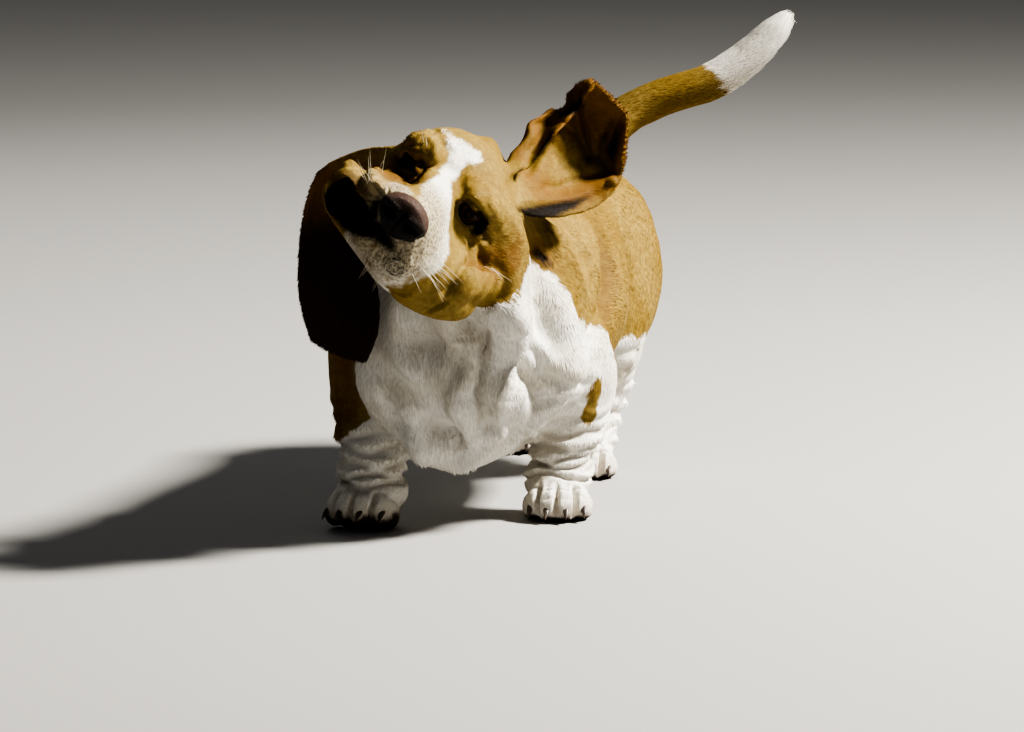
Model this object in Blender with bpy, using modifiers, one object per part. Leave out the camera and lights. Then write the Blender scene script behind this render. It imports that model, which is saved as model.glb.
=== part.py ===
# A trotting basset hound at life size, shaking its head, with one closed solid for each part of the body.
# Metres, +Z up. The dog faces -Y, its left side is +X, and it stands on the floor at z = 0.
# Tables of stations are in centimetres. Body stations go through cm(), head stations through head_point().
import math

import bmesh
import bpy
from mathutils import Matrix, Vector

# Driving dimensions, in metres
WITHERS = 0.355
BODY_LENGTH = 0.655
CHEST_WIDTH = 0.268
EYE_SPACING = 0.078
EYEBALL_RADIUS = 0.0115
NOSE_WIDTH = 0.057
EAR_THICKNESS = 0.006
CLAW_LENGTH = 0.017
MOUTH_GAP = 0.0016
GAP = 0.0003

# The sizes that the body's tables were drawn for, in centimetres
DRAWN_WITHERS = 35.5
DRAWN_LENGTH = 65.5
DRAWN_WIDTH = 26.8

# The middle of the dog's box as drawn, which is moved to x = 0 and y = 0
MIDDLE = (0.0465, 0.1380)

# Where the point between the eyes is, in centimetres, and how the head is turned in the shake, in degrees
EYE_POINT = (2.3, -19.5, 37.5)
HEAD_TURN = -4.1
HEAD_NOD = 7.3
HEAD_ROLL = 41.9

# Fineness of the flesh, in metres and steps, and its triangles
BULK_VOXEL = 0.006
BULK_SMOOTH = 10
DETAIL_VOXEL = 0.0032
DETAIL_SMOOTH = 3
FLESH_TRIANGLES = 6800

# Which side of the dog each name is on
SIDES = {"left": 1.0, "right": -1.0}

# Base colour, roughness and metallic value of each finish
FINISHES = {
    "tan coat": ((0.42, 0.20, 0.07), 0.75, 0.0),
    "brown coat": ((0.16, 0.06, 0.025), 0.7, 0.0),
    "white coat": ((0.80, 0.76, 0.68), 0.8, 0.0),
    "eye": ((0.03, 0.012, 0.006), 0.08, 0.0),
    "nose leather": ((0.02, 0.013, 0.012), 0.4, 0.0),
}


def cm(x, y, z):
    """A body point in metres, from centimetres at the drawn sizes."""
    scale = (CHEST_WIDTH / DRAWN_WIDTH, BODY_LENGTH / DRAWN_LENGTH, WITHERS / DRAWN_WITHERS)
    return Vector((x * scale[0], y * scale[1], z * scale[2]))


def head_matrix():
    """Turns head directions (left, back, up) into the body's, and puts them between the eyes."""
    turn = Matrix.Rotation(math.radians(HEAD_TURN), 4, "Z")
    nod = Matrix.Rotation(math.radians(HEAD_NOD), 4, "X")
    roll = Matrix.Rotation(math.radians(HEAD_ROLL), 4, "Y")
    return Matrix.Translation(cm(*EYE_POINT)) @ turn @ nod @ roll


HEAD = head_matrix()


def head_point(forward, left, up):
    return HEAD @ (Vector((left, -forward, up)) * 0.01)


def curve_through(rows, steps):
    """Rows of numbers, filled in with a smooth curve through them all."""
    first = [2 * a - b for a, b in zip(rows[0], rows[1])]
    last = [2 * a - b for a, b in zip(rows[-1], rows[-2])]
    points = [first] + [list(row) for row in rows] + [last]
    out = []
    for i in range(1, len(points) - 2):
        for step in range(steps):
            t = step / steps
            out.append([catmull(*numbers, t) for numbers in zip(*points[i - 1 : i + 3])])
    out.append(list(rows[-1]))
    return out


def ring_through(points, steps):
    """The same for a closed outline."""
    count = len(points)
    out = []
    for i in range(count):
        near = [points[(i + k) % count] for k in (-1, 0, 1, 2)]
        for step in range(steps):
            out.append([catmull(*numbers, step / steps) for numbers in zip(*near)])
    return out


def catmull(a, b, c, d, t):
    return 0.5 * (2 * b + (c - a) * t + (2 * a - 5 * b + 4 * c - d) * t**2 + (3 * b - a - 3 * c + d) * t**3)


def skin_rings(bm, rings):
    """Closes a list of equal rings of points into one solid, with a point at the middle of each end."""
    rows = [[bm.verts.new(point) for point in ring] for ring in rings]
    count = len(rows[0])
    for low, high in zip(rows, rows[1:]):
        for i in range(count):
            j = (i + 1) % count
            bm.faces.new((low[i], low[j], high[j], high[i]))
    for row, turned in ((rows[0], True), (rows[-1], False)):
        middle = bm.verts.new(sum((v.co for v in row), Vector()) / count)
        for i in range(count):
            j = (i + 1) % count
            bm.faces.new((row[j], row[i], middle) if turned else (row[i], row[j], middle))


def tube(bm, stations, side=(1, 0, 0), steps=4, sides=20, place=None):
    """A limb through stations (x, y, z, half width along side, half depth), in centimetres."""
    rows = curve_through(stations, steps)
    rings = []
    for i, row in enumerate(rows):
        before = Vector(rows[max(i - 1, 0)][:3])
        after = Vector(rows[min(i + 1, len(rows) - 1)][:3])
        along = (after - before).normalized()
        across = Vector(side) - along * along.dot(Vector(side))
        across.normalize()
        front = along.cross(across)
        ring = []
        for k in range(sides):
            angle = math.tau * k / sides
            point = Vector(row[:3])
            point += across * math.cos(angle) * max(row[3], 0.1) + front * math.sin(angle) * max(row[4], 0.1)
            ring.append(place @ (point * 0.01) if place else cm(*point))
        rings.append(ring)
    skin_rings(bm, rings)


def ball(bm, centre, radii, place=Matrix(), turn=(0, 0, 0), subdivisions=3):
    """An ellipsoid, in centimetres, turned by degrees about x, y and z in its own place."""
    rotation = Matrix.Identity(4)
    for angle, axis in zip(turn, "XYZ"):
        rotation = Matrix.Rotation(math.radians(angle), 4, axis) @ rotation
    size = Matrix.Diagonal((*(r * 0.01 for r in radii), 1))
    spot = Vector(centre) * 0.01 if place != Matrix() else cm(*centre)
    matrix = place @ Matrix.Translation(spot) @ rotation @ size
    bmesh.ops.create_icosphere(bm, subdivisions=subdivisions, radius=1, matrix=matrix)


def head_ball(bm, forward, left, up, radii, turn=(0, 0, 0), subdivisions=3):
    """An ellipsoid at a point of the head, its radii along forward, left and up."""
    ball(bm, (left, -forward, up), (radii[1], radii[0], radii[2]), HEAD, turn, subdivisions)


# The trunk. Along y: half width, top, bottom and height of the widest place
TORSO = [
    (-12.8, 2.8, 21.8, 15.0, 18.6),
    (-11.0, 7.2, 26.0, 9.4, 18.2),
    (-7.6, 10.6, 30.4, 6.2, 18.4),
    (-2.5, 12.3, 34.0, 5.6, 19.0),
    (5.0, 13.1, 35.4, 6.3, 19.2),
    (14.0, 13.2, 35.3, 7.0, 19.8),
    (23.0, 12.7, 34.9, 8.2, 20.5),
    (31.0, 11.6, 35.2, 10.0, 21.5),
    (39.0, 10.7, 36.0, 12.2, 23.0),
    (46.0, 9.2, 35.2, 15.6, 25.0),
    (50.8, 6.0, 32.2, 20.0, 26.5),
    (52.6, 2.2, 29.6, 24.4, 27.0),
]
# Shoulder, elbow, breast, thigh and buttock of one side: place, radii, and tilts about x and y
TRUNK_MUSCLES = [
    ((8.9, 0.5, 24.0), (4.1, 6.8, 9.2), 12, -8),
    ((10.8, 3.5, 16.6), (3.4, 5.6, 5.8), 0, 0),
    ((5.4, -8.6, 17.0), (4.8, 3.8, 5.8), 0, 0),
    ((7.8, 41.5, 22.8), (4.4, 8.4, 10.2), -14, -4),
    ((5.2, 47.4, 26.4), (4.4, 5.0, 6.6), 0, 0),
]


def trunk(bm):
    rings = []
    for y, half, top, bottom, middle in curve_through(TORSO, 4):
        ring = []
        for k in range(32):
            angle = -math.tau * k / 32
            c, s = math.cos(angle), math.sin(angle)
            rise = (top - middle) if s > 0 else (middle - bottom)
            narrow = 1.0 if s > 0 else 1.0 - 0.22 * s * s
            ring.append(cm(half * c * narrow, y, middle + rise * math.copysign(abs(s) ** 0.92, s)))
        rings.append(ring)
    skin_rings(bm, rings)
    for side in SIDES.values():
        for (x, y, z), radii, nod, lean in TRUNK_MUSCLES:
            ball(bm, (side * x, y, z), radii, turn=(nod, side * lean, 0))


NECK = [
    (0.0, 6.0, 24.5, 9.0, 9.6),
    (0.3, 0.0, 28.4, 8.8, 9.3),
    (0.8, -5.5, 32.2, 8.2, 8.3),
    (1.5, -10.5, 35.4, 7.3, 7.0),
    (2.2, -14.5, 37.4, 6.0, 5.8),
]
THROAT = [
    (3.4, -14.6, 35.0, 5.4, 3.6),
    (4.0, -13.6, 31.0, 6.4, 4.2),
    (3.4, -11.6, 26.6, 6.8, 4.6),
    (2.0, -9.8, 21.6, 7.0, 4.6),
    (1.0, -8.4, 15.0, 6.0, 4.0),
]
# Loose skin of the throat and chest, as soft ridges
DEWLAP = [
    [
        (5.2, -13.4, 33.5, 1.4, 1.4),
        (6.6, -15.0, 30.6, 2.7, 2.4),
        (7.2, -15.2, 27.6, 2.8, 2.4),
        (6.6, -14.4, 24.4, 2.5, 2.3),
        (5.2, -13.2, 20.6, 2.1, 2.1),
        (3.6, -12.4, 16.2, 1.8, 1.9),
        (2.4, -10.9, 11.2, 1.6, 1.7),
        (1.6, -7.6, 7.4, 1.0, 1.0),
    ],
    [
        (1.4, -13.6, 31.5, 1.2, 1.2),
        (1.7, -15.6, 28.5, 2.0, 1.8),
        (1.8, -14.8, 25.0, 2.0, 1.9),
        (1.5, -13.6, 21.0, 1.7, 1.8),
        (1.2, -12.2, 17.0, 1.4, 1.6),
        (1.0, -10.6, 13.6, 0.8, 1.0),
    ],
    [
        (-3.0, -11.4, 28.6, 1.1, 1.2),
        (-3.7, -12.6, 25.0, 1.9, 1.9),
        (-3.4, -12.4, 20.4, 1.9, 1.9),
        (-2.5, -11.7, 14.8, 1.8, 1.8),
        (-2.2, -9.7, 9.4, 1.6, 1.6),
        (-2.2, -7.0, 7.2, 0.9, 0.8),
    ],
    [
        (8.2, -3.6, 28.6, 1.0, 1.4),
        (10.3, -4.8, 24.6, 2.4, 2.8),
        (11.2, -4.2, 20.0, 2.8, 3.0),
        (10.8, -3.0, 16.0, 2.4, 2.8),
        (9.0, -1.6, 12.6, 1.2, 1.4),
    ],
]
TAIL = [
    (0.0, 45.5, 31.5, 2.9, 2.9),
    (2.2, 49.4, 35.0, 2.6, 2.7),
    (5.8, 52.4, 38.4, 2.4, 2.5),
    (10.4, 54.2, 40.6, 2.3, 2.4),
    (15.2, 55.8, 42.4, 2.2, 2.4),
    (19.4, 57.2, 45.0, 2.1, 2.3),
    (22.2, 58.2, 48.2, 1.9, 2.0),
    (23.8, 58.8, 50.5, 1.1, 1.1),
]
FORE_LEGS = {
    "left": [
        (11.2, 3.0, 20.0, 3.6, 5.2),
        (11.4, 6.4, 14.6, 3.9, 4.7),
        (10.6, 6.2, 10.8, 3.8, 4.1),
        (9.6, 5.6, 7.0, 3.5, 3.6),
        (9.3, 4.8, 4.4, 3.4, 3.6),
        (9.4, 3.9, 2.3, 3.3, 3.8),
    ],
    "right": [
        (-11.2, -0.6, 20.0, 3.8, 5.4),
        (-11.0, 0.2, 14.8, 4.1, 4.9),
        (-10.0, -2.4, 11.0, 3.9, 4.2),
        (-8.9, -4.8, 7.6, 3.6, 3.7),
        (-8.8, -6.2, 4.8, 3.6, 3.7),
        (-8.8, -7.4, 2.5, 3.6, 3.9),
    ],
}
HIND_LEGS = {
    "left": [
        (7.8, 40.0, 24.5, 4.0, 7.2),
        (8.7, 36.8, 19.2, 4.0, 6.2),
        (8.7, 35.2, 15.4, 3.4, 4.8),
        (7.8, 37.6, 11.8, 2.8, 3.6),
        (6.9, 38.8, 8.6, 2.4, 2.9),
        (6.4, 36.6, 5.2, 2.3, 2.5),
        (6.2, 33.8, 2.5, 2.7, 2.9),
    ],
    "right": [
        (-7.8, 41.5, 24.5, 4.0, 7.2),
        (-8.7, 40.4, 19.2, 4.0, 6.2),
        (-8.7, 41.6, 15.4, 3.4, 4.8),
        (-8.0, 46.6, 12.2, 2.8, 3.6),
        (-7.2, 51.4, 9.4, 2.4, 2.9),
        (-6.8, 52.6, 6.0, 2.3, 2.5),
        (-6.6, 51.0, 2.9, 2.7, 2.9),
    ],
}
# Loose skin lies in rings round the lower legs. Heights of the rings, and how far each stands out
FORE_FOLDS = (3.6, 5.2, 6.8, 8.8)
HIND_FOLDS = (3.8, 5.6, 7.6, 10.0)
FOLD_REACH = 0.45
FOLD_HEIGHT = 0.75

# Sections of the muzzle and the hanging lips. At each distance forward, points (left, up) round it: bridge,
# left brow side, left side, left lip, its tip, its underside, chin, right lip tip, right side, right top
MUZZLE = [
    (-4.5, [
        (0, 2.6), (3.0, 1.8), (5.2, -1.4), (6.4, -4.4), (6.4, -6.6),
        (4.0, -6.8), (0, -5.8), (-5.0, -5.6), (-5.4, -2.0), (-3.2, 1.6),
    ]),
    (-0.5, [
        (0, 2.3), (2.4, 1.6), (4.8, -1.6), (8.6, -3.8), (10.2, -6.6),
        (7.6, -8.0), (1.2, -6.4), (-5.2, -6.4), (-5.6, -2.8), (-2.6, 1.4),
    ]),
    (3.0, [
        (0, 1.8), (2.1, 1.2), (4.4, -1.4), (9.2, -4.2), (11.2, -7.4),
        (8.2, -8.8), (1.2, -7.0), (-7.2, -6.4), (-6.4, -2.4), (-2.5, 1.2),
    ]),
    (5.8, [
        (0, 1.5), (2.0, 1.0), (4.2, -1.4), (7.8, -4.4), (9.6, -8.0),
        (6.8, -9.4), (1.2, -7.4), (-8.2, -6.9), (-7.9, -3.4), (-3.2, 0.9),
    ]),
    (8.0, [
        (0, 1.3), (1.9, 0.8), (3.9, -1.4), (5.9, -4.4), (6.8, -7.9),
        (4.8, -9.4), (1.2, -8.0), (-6.9, -7.3), (-7.2, -3.0), (-3.4, 0.5),
    ]),
    (9.8, [
        (0, 1.1), (1.7, 0.6), (3.3, -1.3), (4.9, -4.2), (5.2, -7.0),
        (3.9, -8.2), (1.4, -8.4), (-2.9, -6.9), (-4.2, -3.0), (-2.4, 0.2),
    ]),
    (11.2, [
        (0, 0.3), (1.2, 0.0), (2.2, -1.3), (3.6, -3.8), (3.8, -5.8),
        (2.8, -6.9), (1.0, -6.9), (-1.2, -5.6), (-2.2, -3.0), (-1.2, -0.2),
    ]),
]
# Lumps of the head: forward, left, up, then radii forward, left and up
SKULL = [
    (-5.6, 0, -0.1, (6.6, 6.2, 4.6)),
    (-10.6, 0, 1.6, (2.6, 2.4, 2.4)),
    (-5.0, 5.4, -2.9, (4.4, 3.4, 3.8)),
    (-4.6, -4.6, -2.8, (4.4, 2.6, 3.9)),
    (-2.0, 3.2, -0.2, (3.6, 2.5, 2.6)),
    (-2.0, -3.2, -0.2, (3.6, 2.5, 2.6)),
]
# Soft folds of skin on the head: brows, cheeks and the flung lip's second fold, with tilts in degrees
HEAD_FOLDS = [
    (0.3, 3.5, 1.9, (2.1, 2.1, 1.4), (0, 30, 0)),
    (0.3, -3.5, 1.9, (2.1, 2.1, 1.4), (0, -30, 0)),
    (-1.8, 4.8, 1.2, (2.8, 1.8, 1.8), (0, 36, 0)),
    (-1.8, -4.8, 1.2, (2.8, 1.8, 1.8), (0, -36, 0)),
    (0.4, 4.6, -2.5, (3.0, 2.6, 1.2), (0, 30, 0)),
    (0.4, -4.4, -2.5, (2.8, 2.3, 1.2), (0, -30, 0)),
    (-4.2, 7.6, -3.4, (3.6, 3.0, 3.0), (0, 20, 0)),
    (-6.6, 7.0, -0.6, (2.8, 2.1, 1.8), (0, 30, 0)),
    (5.6, -7.4, -3.6, (1.9, 1.5, 2.4), (0, -40, 0)),
]
# Finer folds: lids, the wrinkles behind the nose, the rim of the flung lip and the pads of the whiskers
FINE_FOLDS = [
    (0.4, 3.9, 0.7, (1.2, 2.5, 0.8), (0, 8, 26)),
    (0.4, -3.9, 0.7, (1.2, 2.5, 0.8), (0, -8, -26)),
    (0.5, 4.1, -0.9, (1.2, 2.6, 0.8), (0, 12, 26)),
    (0.5, -4.1, -0.9, (1.2, 2.6, 0.8), (0, -12, -26)),
    (7.6, -4.9, -1.2, (1.3, 1.7, 0.9), (0, 26, 0)),
    (8.9, -3.6, -0.9, (1.0, 1.5, 1.0), (0, 10, 14)),
    (5.4, -4.9, -1.4, (1.0, 1.6, 0.9), (0, 20, 0)),
    (8.0, -6.3, -4.4, (2.6, 2.2, 2.95), (0, -38, 0)),
    (10.0, 2.4, -5.0, (1.7, 2.2, 2.6), (0, 0, -24)),
    (10.0, -1.6, -4.8, (1.6, 1.9, 2.3), (0, 0, 20)),
]


def bulk(bm):
    """The dog's main masses and softest folds."""
    trunk(bm)
    tube(bm, NECK)
    tube(bm, THROAT)
    tube(bm, TAIL, side=(0, 1, 0))
    for legs in (FORE_LEGS, HIND_LEGS):
        for rows in legs.values():
            tube(bm, rows)
    for ridge in DEWLAP:
        tube(bm, ridge)
    for forward, left, up, radii in SKULL:
        head_ball(bm, forward, left, up, radii)
    for forward, left, up, radii, turn in HEAD_FOLDS:
        head_ball(bm, forward, left, up, radii, turn)


def muzzle(bm):
    rows = [[forward] + [number for point in section for number in point] for forward, section in MUZZLE]
    rings = []
    for row in curve_through(rows, 3):
        section = list(zip(row[1::2], row[2::2]))
        rings.append([head_point(row[0], left, up) for left, up in reversed(ring_through(section, 4))])
    skin_rings(bm, rings)


# Toes across and ahead of the paw's middle, and the size of each toe
TOES = [(-2.9, 0.7), (-1.05, 2.0), (1.05, 2.0), (2.9, 0.7)]
TOE_RADII = (1.3, 2.2, 1.75)
TOE_HEIGHT = 1.6
# Half width and half depth of a claw at its root, its bend and its tip
CLAW_RADII = [(0.42, 0.46), (0.34, 0.38), (0.12, 0.14)]
# Each paw: across, along, turn outwards in degrees, how far the toes lift in degrees, and scale
PAWS = {
    "fore_left": (9.6, 2.7, 10, 0, 0.93),
    "fore_right": (-8.8, -8.6, 8, 9, 1.0),
    "hind_left": (6.1, 32.6, 6, 0, 0.84),
    "hind_right": (-6.6, 50.0, 6, 0, 0.84),
}


def paw_matrix(name):
    x, y, out, lift, scale = PAWS[name]
    side = SIDES[name.split("_")[1]]
    return (
        Matrix.Translation(cm(x, y, 0))
        @ Matrix.Rotation(math.radians(side * out), 4, "Z")
        @ Matrix.Rotation(math.radians(-lift), 4, "X")
        @ Matrix.Scale(scale, 4)
    )


def paws(bm):
    for name in PAWS:
        place = paw_matrix(name)
        inner = -SIDES[name.split("_")[1]]
        ball(bm, (0, 0.4, 2.6), (3.5, 3.6, 2.9), place)
        ball(bm, (0, -1.4, 2.3), (2.9, 2.6, 2.0), place)
        for across, ahead in TOES:
            ball(bm, (across, -ahead - 0.6, TOE_HEIGHT), TOE_RADII, place, turn=(-10, 0, -across * 4))
        ball(bm, (0, 1.2, 0.7), (2.4, 2.2, 1.2), place)
        if name.startswith("fore"):
            ball(bm, (inner * 3.2, 1.4, 4.2), (1.0, 1.3, 1.7), place)


def leg_folds(bm):
    for legs, heights in ((FORE_LEGS, FORE_FOLDS), (HIND_LEGS, HIND_FOLDS)):
        for rows in legs.values():
            fine = curve_through(rows, 8)
            for i, height in enumerate(heights):
                x, y, _, wide, deep = min(fine, key=lambda row: abs(row[2] - height))
                tilt = 8 if i % 2 else -6
                radii = (wide + FOLD_REACH, deep + FOLD_REACH, FOLD_HEIGHT)
                ball(bm, (x, y, height), radii, turn=(tilt, tilt / 2, 0))


def eye_point(side):
    """The middle of an eyeball, in head centimetres: forward, left, up."""
    return -0.3, side * EYE_SPACING * 50, 0.25


def details(bm):
    """What is too fine for the bulk: lips, folds, toes and lids."""
    muzzle(bm)
    paws(bm)
    leg_folds(bm)
    for forward, left, up, radii, turn in FINE_FOLDS:
        head_ball(bm, forward, left, up, radii, turn)
    for side in SIDES.values():
        forward, left, up = eye_point(side)
        head_ball(bm, forward, left, up, LID_RADII)


def mesh_object(name, fill, *values):
    bm = bmesh.new()
    fill(bm, *values)
    bmesh.ops.triangulate(bm, faces=bm.faces, quad_method="FIXED")
    bmesh.ops.recalc_face_normals(bm, faces=bm.faces)
    mesh = bpy.data.meshes.new(name)
    bm.to_mesh(mesh)
    bm.free()
    obj = bpy.data.objects.new(name, mesh)
    bpy.context.scene.collection.objects.link(obj)
    return obj


def applied(obj):
    """The object with its modifiers made part of its mesh."""
    bpy.context.view_layer.update()
    graph = bpy.context.evaluated_depsgraph_get()
    mesh = bpy.data.meshes.new_from_object(obj.evaluated_get(graph))
    obj.modifiers.clear()
    old = obj.data
    obj.data = mesh
    bpy.data.meshes.remove(old)
    return obj


def removed(*objects):
    for obj in objects:
        bpy.data.objects.remove(obj)


def fused(obj, voxel, smooth):
    """Joins overlapping forms into one skin, and softens where they meet."""
    remesh = obj.modifiers.new("One skin", "REMESH")
    remesh.mode = "VOXEL"
    remesh.voxel_size = voxel
    soften = obj.modifiers.new("Soften", "SMOOTH")
    soften.factor = 0.5
    soften.iterations = smooth
    return applied(obj)


def thinned(obj, triangles):
    now = sum(len(p.vertices) - 2 for p in obj.data.polygons)
    fewer = obj.modifiers.new("Fewer faces", "DECIMATE")
    fewer.ratio = triangles / now
    return applied(obj)


def combined(obj, other, operation):
    """A Boolean between two closed meshes, applied."""
    step = obj.modifiers.new("Cut", "BOOLEAN")
    step.operation = operation
    step.solver = "EXACT"
    step.object = other
    return applied(obj)


def copy_of(obj, name):
    twin = bpy.data.objects.new(name, obj.data.copy())
    bpy.context.scene.collection.objects.link(twin)
    return twin


def grown(obj, amount):
    """A copy that stands out by amount all over."""
    twin = copy_of(obj, obj.name + " room")
    swell = twin.modifiers.new("Swell", "DISPLACE")
    swell.direction = "NORMAL"
    swell.strength = amount
    swell.mid_level = 0.0
    return applied(twin)


def largest_body(obj):
    """Keeps the largest closed surface of the mesh, as triangles."""
    bm = bmesh.new()
    bm.from_mesh(obj.data)
    bmesh.ops.triangulate(bm, faces=bm.faces)
    left = set(bm.faces)
    bodies = []
    while left:
        seed = left.pop()
        body, edge_of = [seed], [seed]
        while edge_of:
            face = edge_of.pop()
            for edge in face.edges:
                for other in edge.link_faces:
                    if other in left:
                        left.remove(other)
                        body.append(other)
                        edge_of.append(other)
        bodies.append(body)
    bodies.sort(key=lambda body: sum(face.calc_area() for face in body))
    scrap = [face for body in bodies[:-1] for face in body]
    bmesh.ops.delete(bm, geom=scrap, context="FACES")
    bm.to_mesh(obj.data)
    bm.free()
    return obj


def sleeve(bm, stations, grow):
    """A rounded region round a limb, larger by grow, or by more where its sides slant."""
    more = grow * 160
    rows = [[x, y, z, wide + more, deep + more] for x, y, z, wide, deep in stations]
    rows[0][2] += more
    rows[-1][2] -= more
    tube(bm, rows, steps=1, sides=12)


def slab(bm, point, normal, grow):
    """All that lies on the normal's side of a plane, as a big box."""
    normal = Vector(normal).normalized()
    size = 2.0
    turn = normal.to_track_quat("Z", "Y").to_matrix().to_4x4()
    middle = Matrix.Translation(cm(*point) + normal * (size / 2 - grow))
    bmesh.ops.create_cube(bm, size=size, matrix=middle @ turn)


# Where the body is parted. Each plane is a point and the direction of the part that it cuts off
HEAD_PLANE = ((1.5, -9.5, 36.4), (0.08, -0.79, 0.6))
NECK_PLANE = ((0.0, -4.5, 30.5), (0.0, -0.66, 0.75))
TAIL_PLANE = ((2.2, 49.4, 35.2), (0.5, 0.36, 0.79))
# The region of each leg, from above its root to below the floor
LEG_REGIONS = {
    "fore_leg_left": [
        (11.5, 1.6, 24.0, 2.0, 3.0),
        (11.7, 2.0, 20.0, 5.4, 7.4),
        (12.0, 3.0, 13.0, 7.4, 8.6),
        (12.2, 2.4, 5.0, 8.0, 10.5),
        (12.2, 2.0, -2.0, 8.0, 11.0),
    ],
    "fore_leg_right": [
        (-11.5, -1.0, 24.0, 2.0, 3.0),
        (-11.7, -1.0, 20.0, 5.4, 7.4),
        (-12.0, -1.8, 13.0, 7.4, 8.6),
        (-12.0, -5.0, 5.0, 8.0, 11.5),
        (-12.0, -6.0, -2.0, 8.0, 12.0),
    ],
    "hind_leg_left": [
        (8.6, 40.6, 32.0, 2.0, 3.0),
        (9.6, 41.0, 28.0, 5.6, 8.6),
        (10.2, 39.6, 19.0, 7.4, 10.2),
        (9.6, 37.4, 10.0, 7.0, 9.6),
        (9.2, 35.0, 4.0, 7.0, 9.0),
        (9.2, 35.0, -2.0, 7.0, 9.0),
    ],
    "hind_leg_right": [
        (-8.6, 42.0, 32.0, 2.0, 3.0),
        (-9.6, 42.4, 28.0, 5.6, 8.6),
        (-10.2, 43.0, 19.0, 7.4, 10.2),
        (-9.6, 47.0, 10.0, 7.0, 9.6),
        (-9.2, 50.0, 4.0, 7.0, 9.0),
        (-9.2, 50.0, -2.0, 7.0, 9.0),
    ],
}
WRISTS = {"fore": 4.9, "hind": 4.2}


def cut_off(body, name, fill, *values):
    """Parts one node from the body, with the gap half on each side of the cut."""
    inner = mesh_object("inner", fill, *values, -GAP / 2)
    outer = mesh_object("outer", fill, *values, GAP / 2)
    node = copy_of(body, name)
    combined(node, inner, "INTERSECT")
    combined(body, outer, "DIFFERENCE")
    removed(inner, outer)
    return largest_body(node)


def parted(flesh):
    nodes = {}
    for leg_name, stations in LEG_REGIONS.items():
        leg = cut_off(flesh, leg_name, sleeve, stations)
        wrist = WRISTS[leg_name[:4]]
        nodes[leg_name.replace("leg", "paw")] = cut_off(leg, "paw", slab, (0, 0, wrist), (0, 0, -1))
        nodes[leg_name] = largest_body(leg)
    nodes["tail"] = cut_off(flesh, "tail", slab, *TAIL_PLANE)
    nodes["head"] = cut_off(flesh, "head", slab, *HEAD_PLANE)
    nodes["neck"] = cut_off(flesh, "neck", slab, *NECK_PLANE)
    flesh.name = "torso"
    nodes["torso"] = largest_body(flesh)
    return nodes


# Each ear as rows from its root to its tip, each row across from the lower or front margin
LEFT_EAR = [
    [(8.2, -13.4, 34.6), (6.6, -13.0, 36.2), (6.2, -12.4, 37.6), (7.6, -13.8, 38.4)],
    [(9.6, -10.4, 33.8), (8.9, -8.8, 36.6), (7.6, -8.8, 39.6), (10.2, -11.2, 39.2)],
    [(12.0, -6.4, 33.4), (10.4, -4.0, 37.2), (8.2, -5.2, 42.2), (11.1, -8.0, 41.4)],
    [(15.0, -2.4, 34.2), (12.2, 0.4, 38.8), (9.5, -2.6, 44.0), (12.2, -5.8, 43.0)],
    [(17.0, 0.0, 36.8), (13.8, 1.8, 41.2), (11.1, -1.6, 45.3), (13.2, -4.8, 44.4)],
    [(17.5, 0.8, 40.8), (15.2, 1.2, 43.6), (12.6, -1.8, 46.8), (14.2, -4.2, 46.0)],
    [(17.6, 0.6, 43.8), (16.2, 0.2, 45.4), (14.3, -1.8, 47.6), (15.0, -3.5, 46.9)],
]
RIGHT_EAR = [
    [(-2.8, -14.2, 41.4), (-3.0, -13.2, 40.6), (-3.0, -12.4, 39.6), (-2.8, -12.0, 38.6)],
    [(-6.2, -14.6, 41.2), (-6.0, -12.9, 39.8), (-5.6, -12.2, 38.0), (-5.2, -12.4, 36.4)],
    [(-9.2, -14.9, 40.3), (-8.8, -13.1, 37.8), (-7.6, -12.6, 35.4), (-6.4, -13.2, 33.6)],
    [(-11.9, -15.4, 38.6), (-10.8, -13.6, 35.2), (-8.6, -13.0, 33.0), (-6.6, -13.8, 31.2)],
    [(-13.2, -16.2, 34.8), (-11.8, -14.2, 32.0), (-8.8, -13.8, 30.2), (-6.0, -14.8, 28.4)],
    [(-13.7, -16.9, 30.0), (-12.0, -15.2, 28.0), (-8.6, -14.9, 26.8), (-5.2, -15.6, 25.2)],
    [(-13.6, -17.2, 25.4), (-11.6, -16.0, 24.0), (-8.6, -15.9, 22.8), (-5.2, -16.4, 21.8)],
    [(-12.4, -17.2, 21.0), (-10.8, -16.6, 20.0), (-8.6, -16.5, 19.2), (-6.4, -16.8, 18.8)],
]


def ear_surface(bm, rows):
    flat = [[number for point in row for number in point] for row in rows]
    grid = []
    for row in curve_through(flat, 2):
        points = list(zip(row[0::3], row[1::3], row[2::3]))
        grid.append([bm.verts.new(cm(*point)) for point in curve_through(points, 3)])
    for low, high in zip(grid, grid[1:]):
        for i in range(len(low) - 1):
            bm.faces.new((low[i], low[i + 1], high[i + 1], high[i]))


def ear(name, rows):
    obj = mesh_object(name, ear_surface, rows)
    shell = obj.modifiers.new("Thickness", "SOLIDIFY")
    shell.thickness = EAR_THICKNESS
    shell.offset = 0.0
    round_edge = obj.modifiers.new("Round edge", "BEVEL")
    round_edge.width = EAR_THICKNESS * 0.3
    round_edge.segments = 1
    round_edge.limit_method = "ANGLE"
    round_edge.angle_limit = math.radians(60)
    applied(obj)
    bm = bmesh.new()
    bm.from_mesh(obj.data)
    bmesh.ops.triangulate(bm, faces=bm.faces, quad_method="FIXED")
    bmesh.ops.recalc_face_normals(bm, faces=bm.faces)
    bm.to_mesh(obj.data)
    bm.free()
    return obj


JAW = [
    (0.0, 4.6, -4.9, 2.6, 1.8),
    (0.2, 1.5, -5.8, 3.1, 2.2),
    (0.5, -2.0, -6.5, 3.2, 2.4),
    (0.8, -5.4, -6.9, 2.9, 2.35),
    (1.0, -7.6, -6.9, 2.3, 2.0),
    (1.1, -8.8, -6.6, 1.3, 1.3),
]
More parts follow.
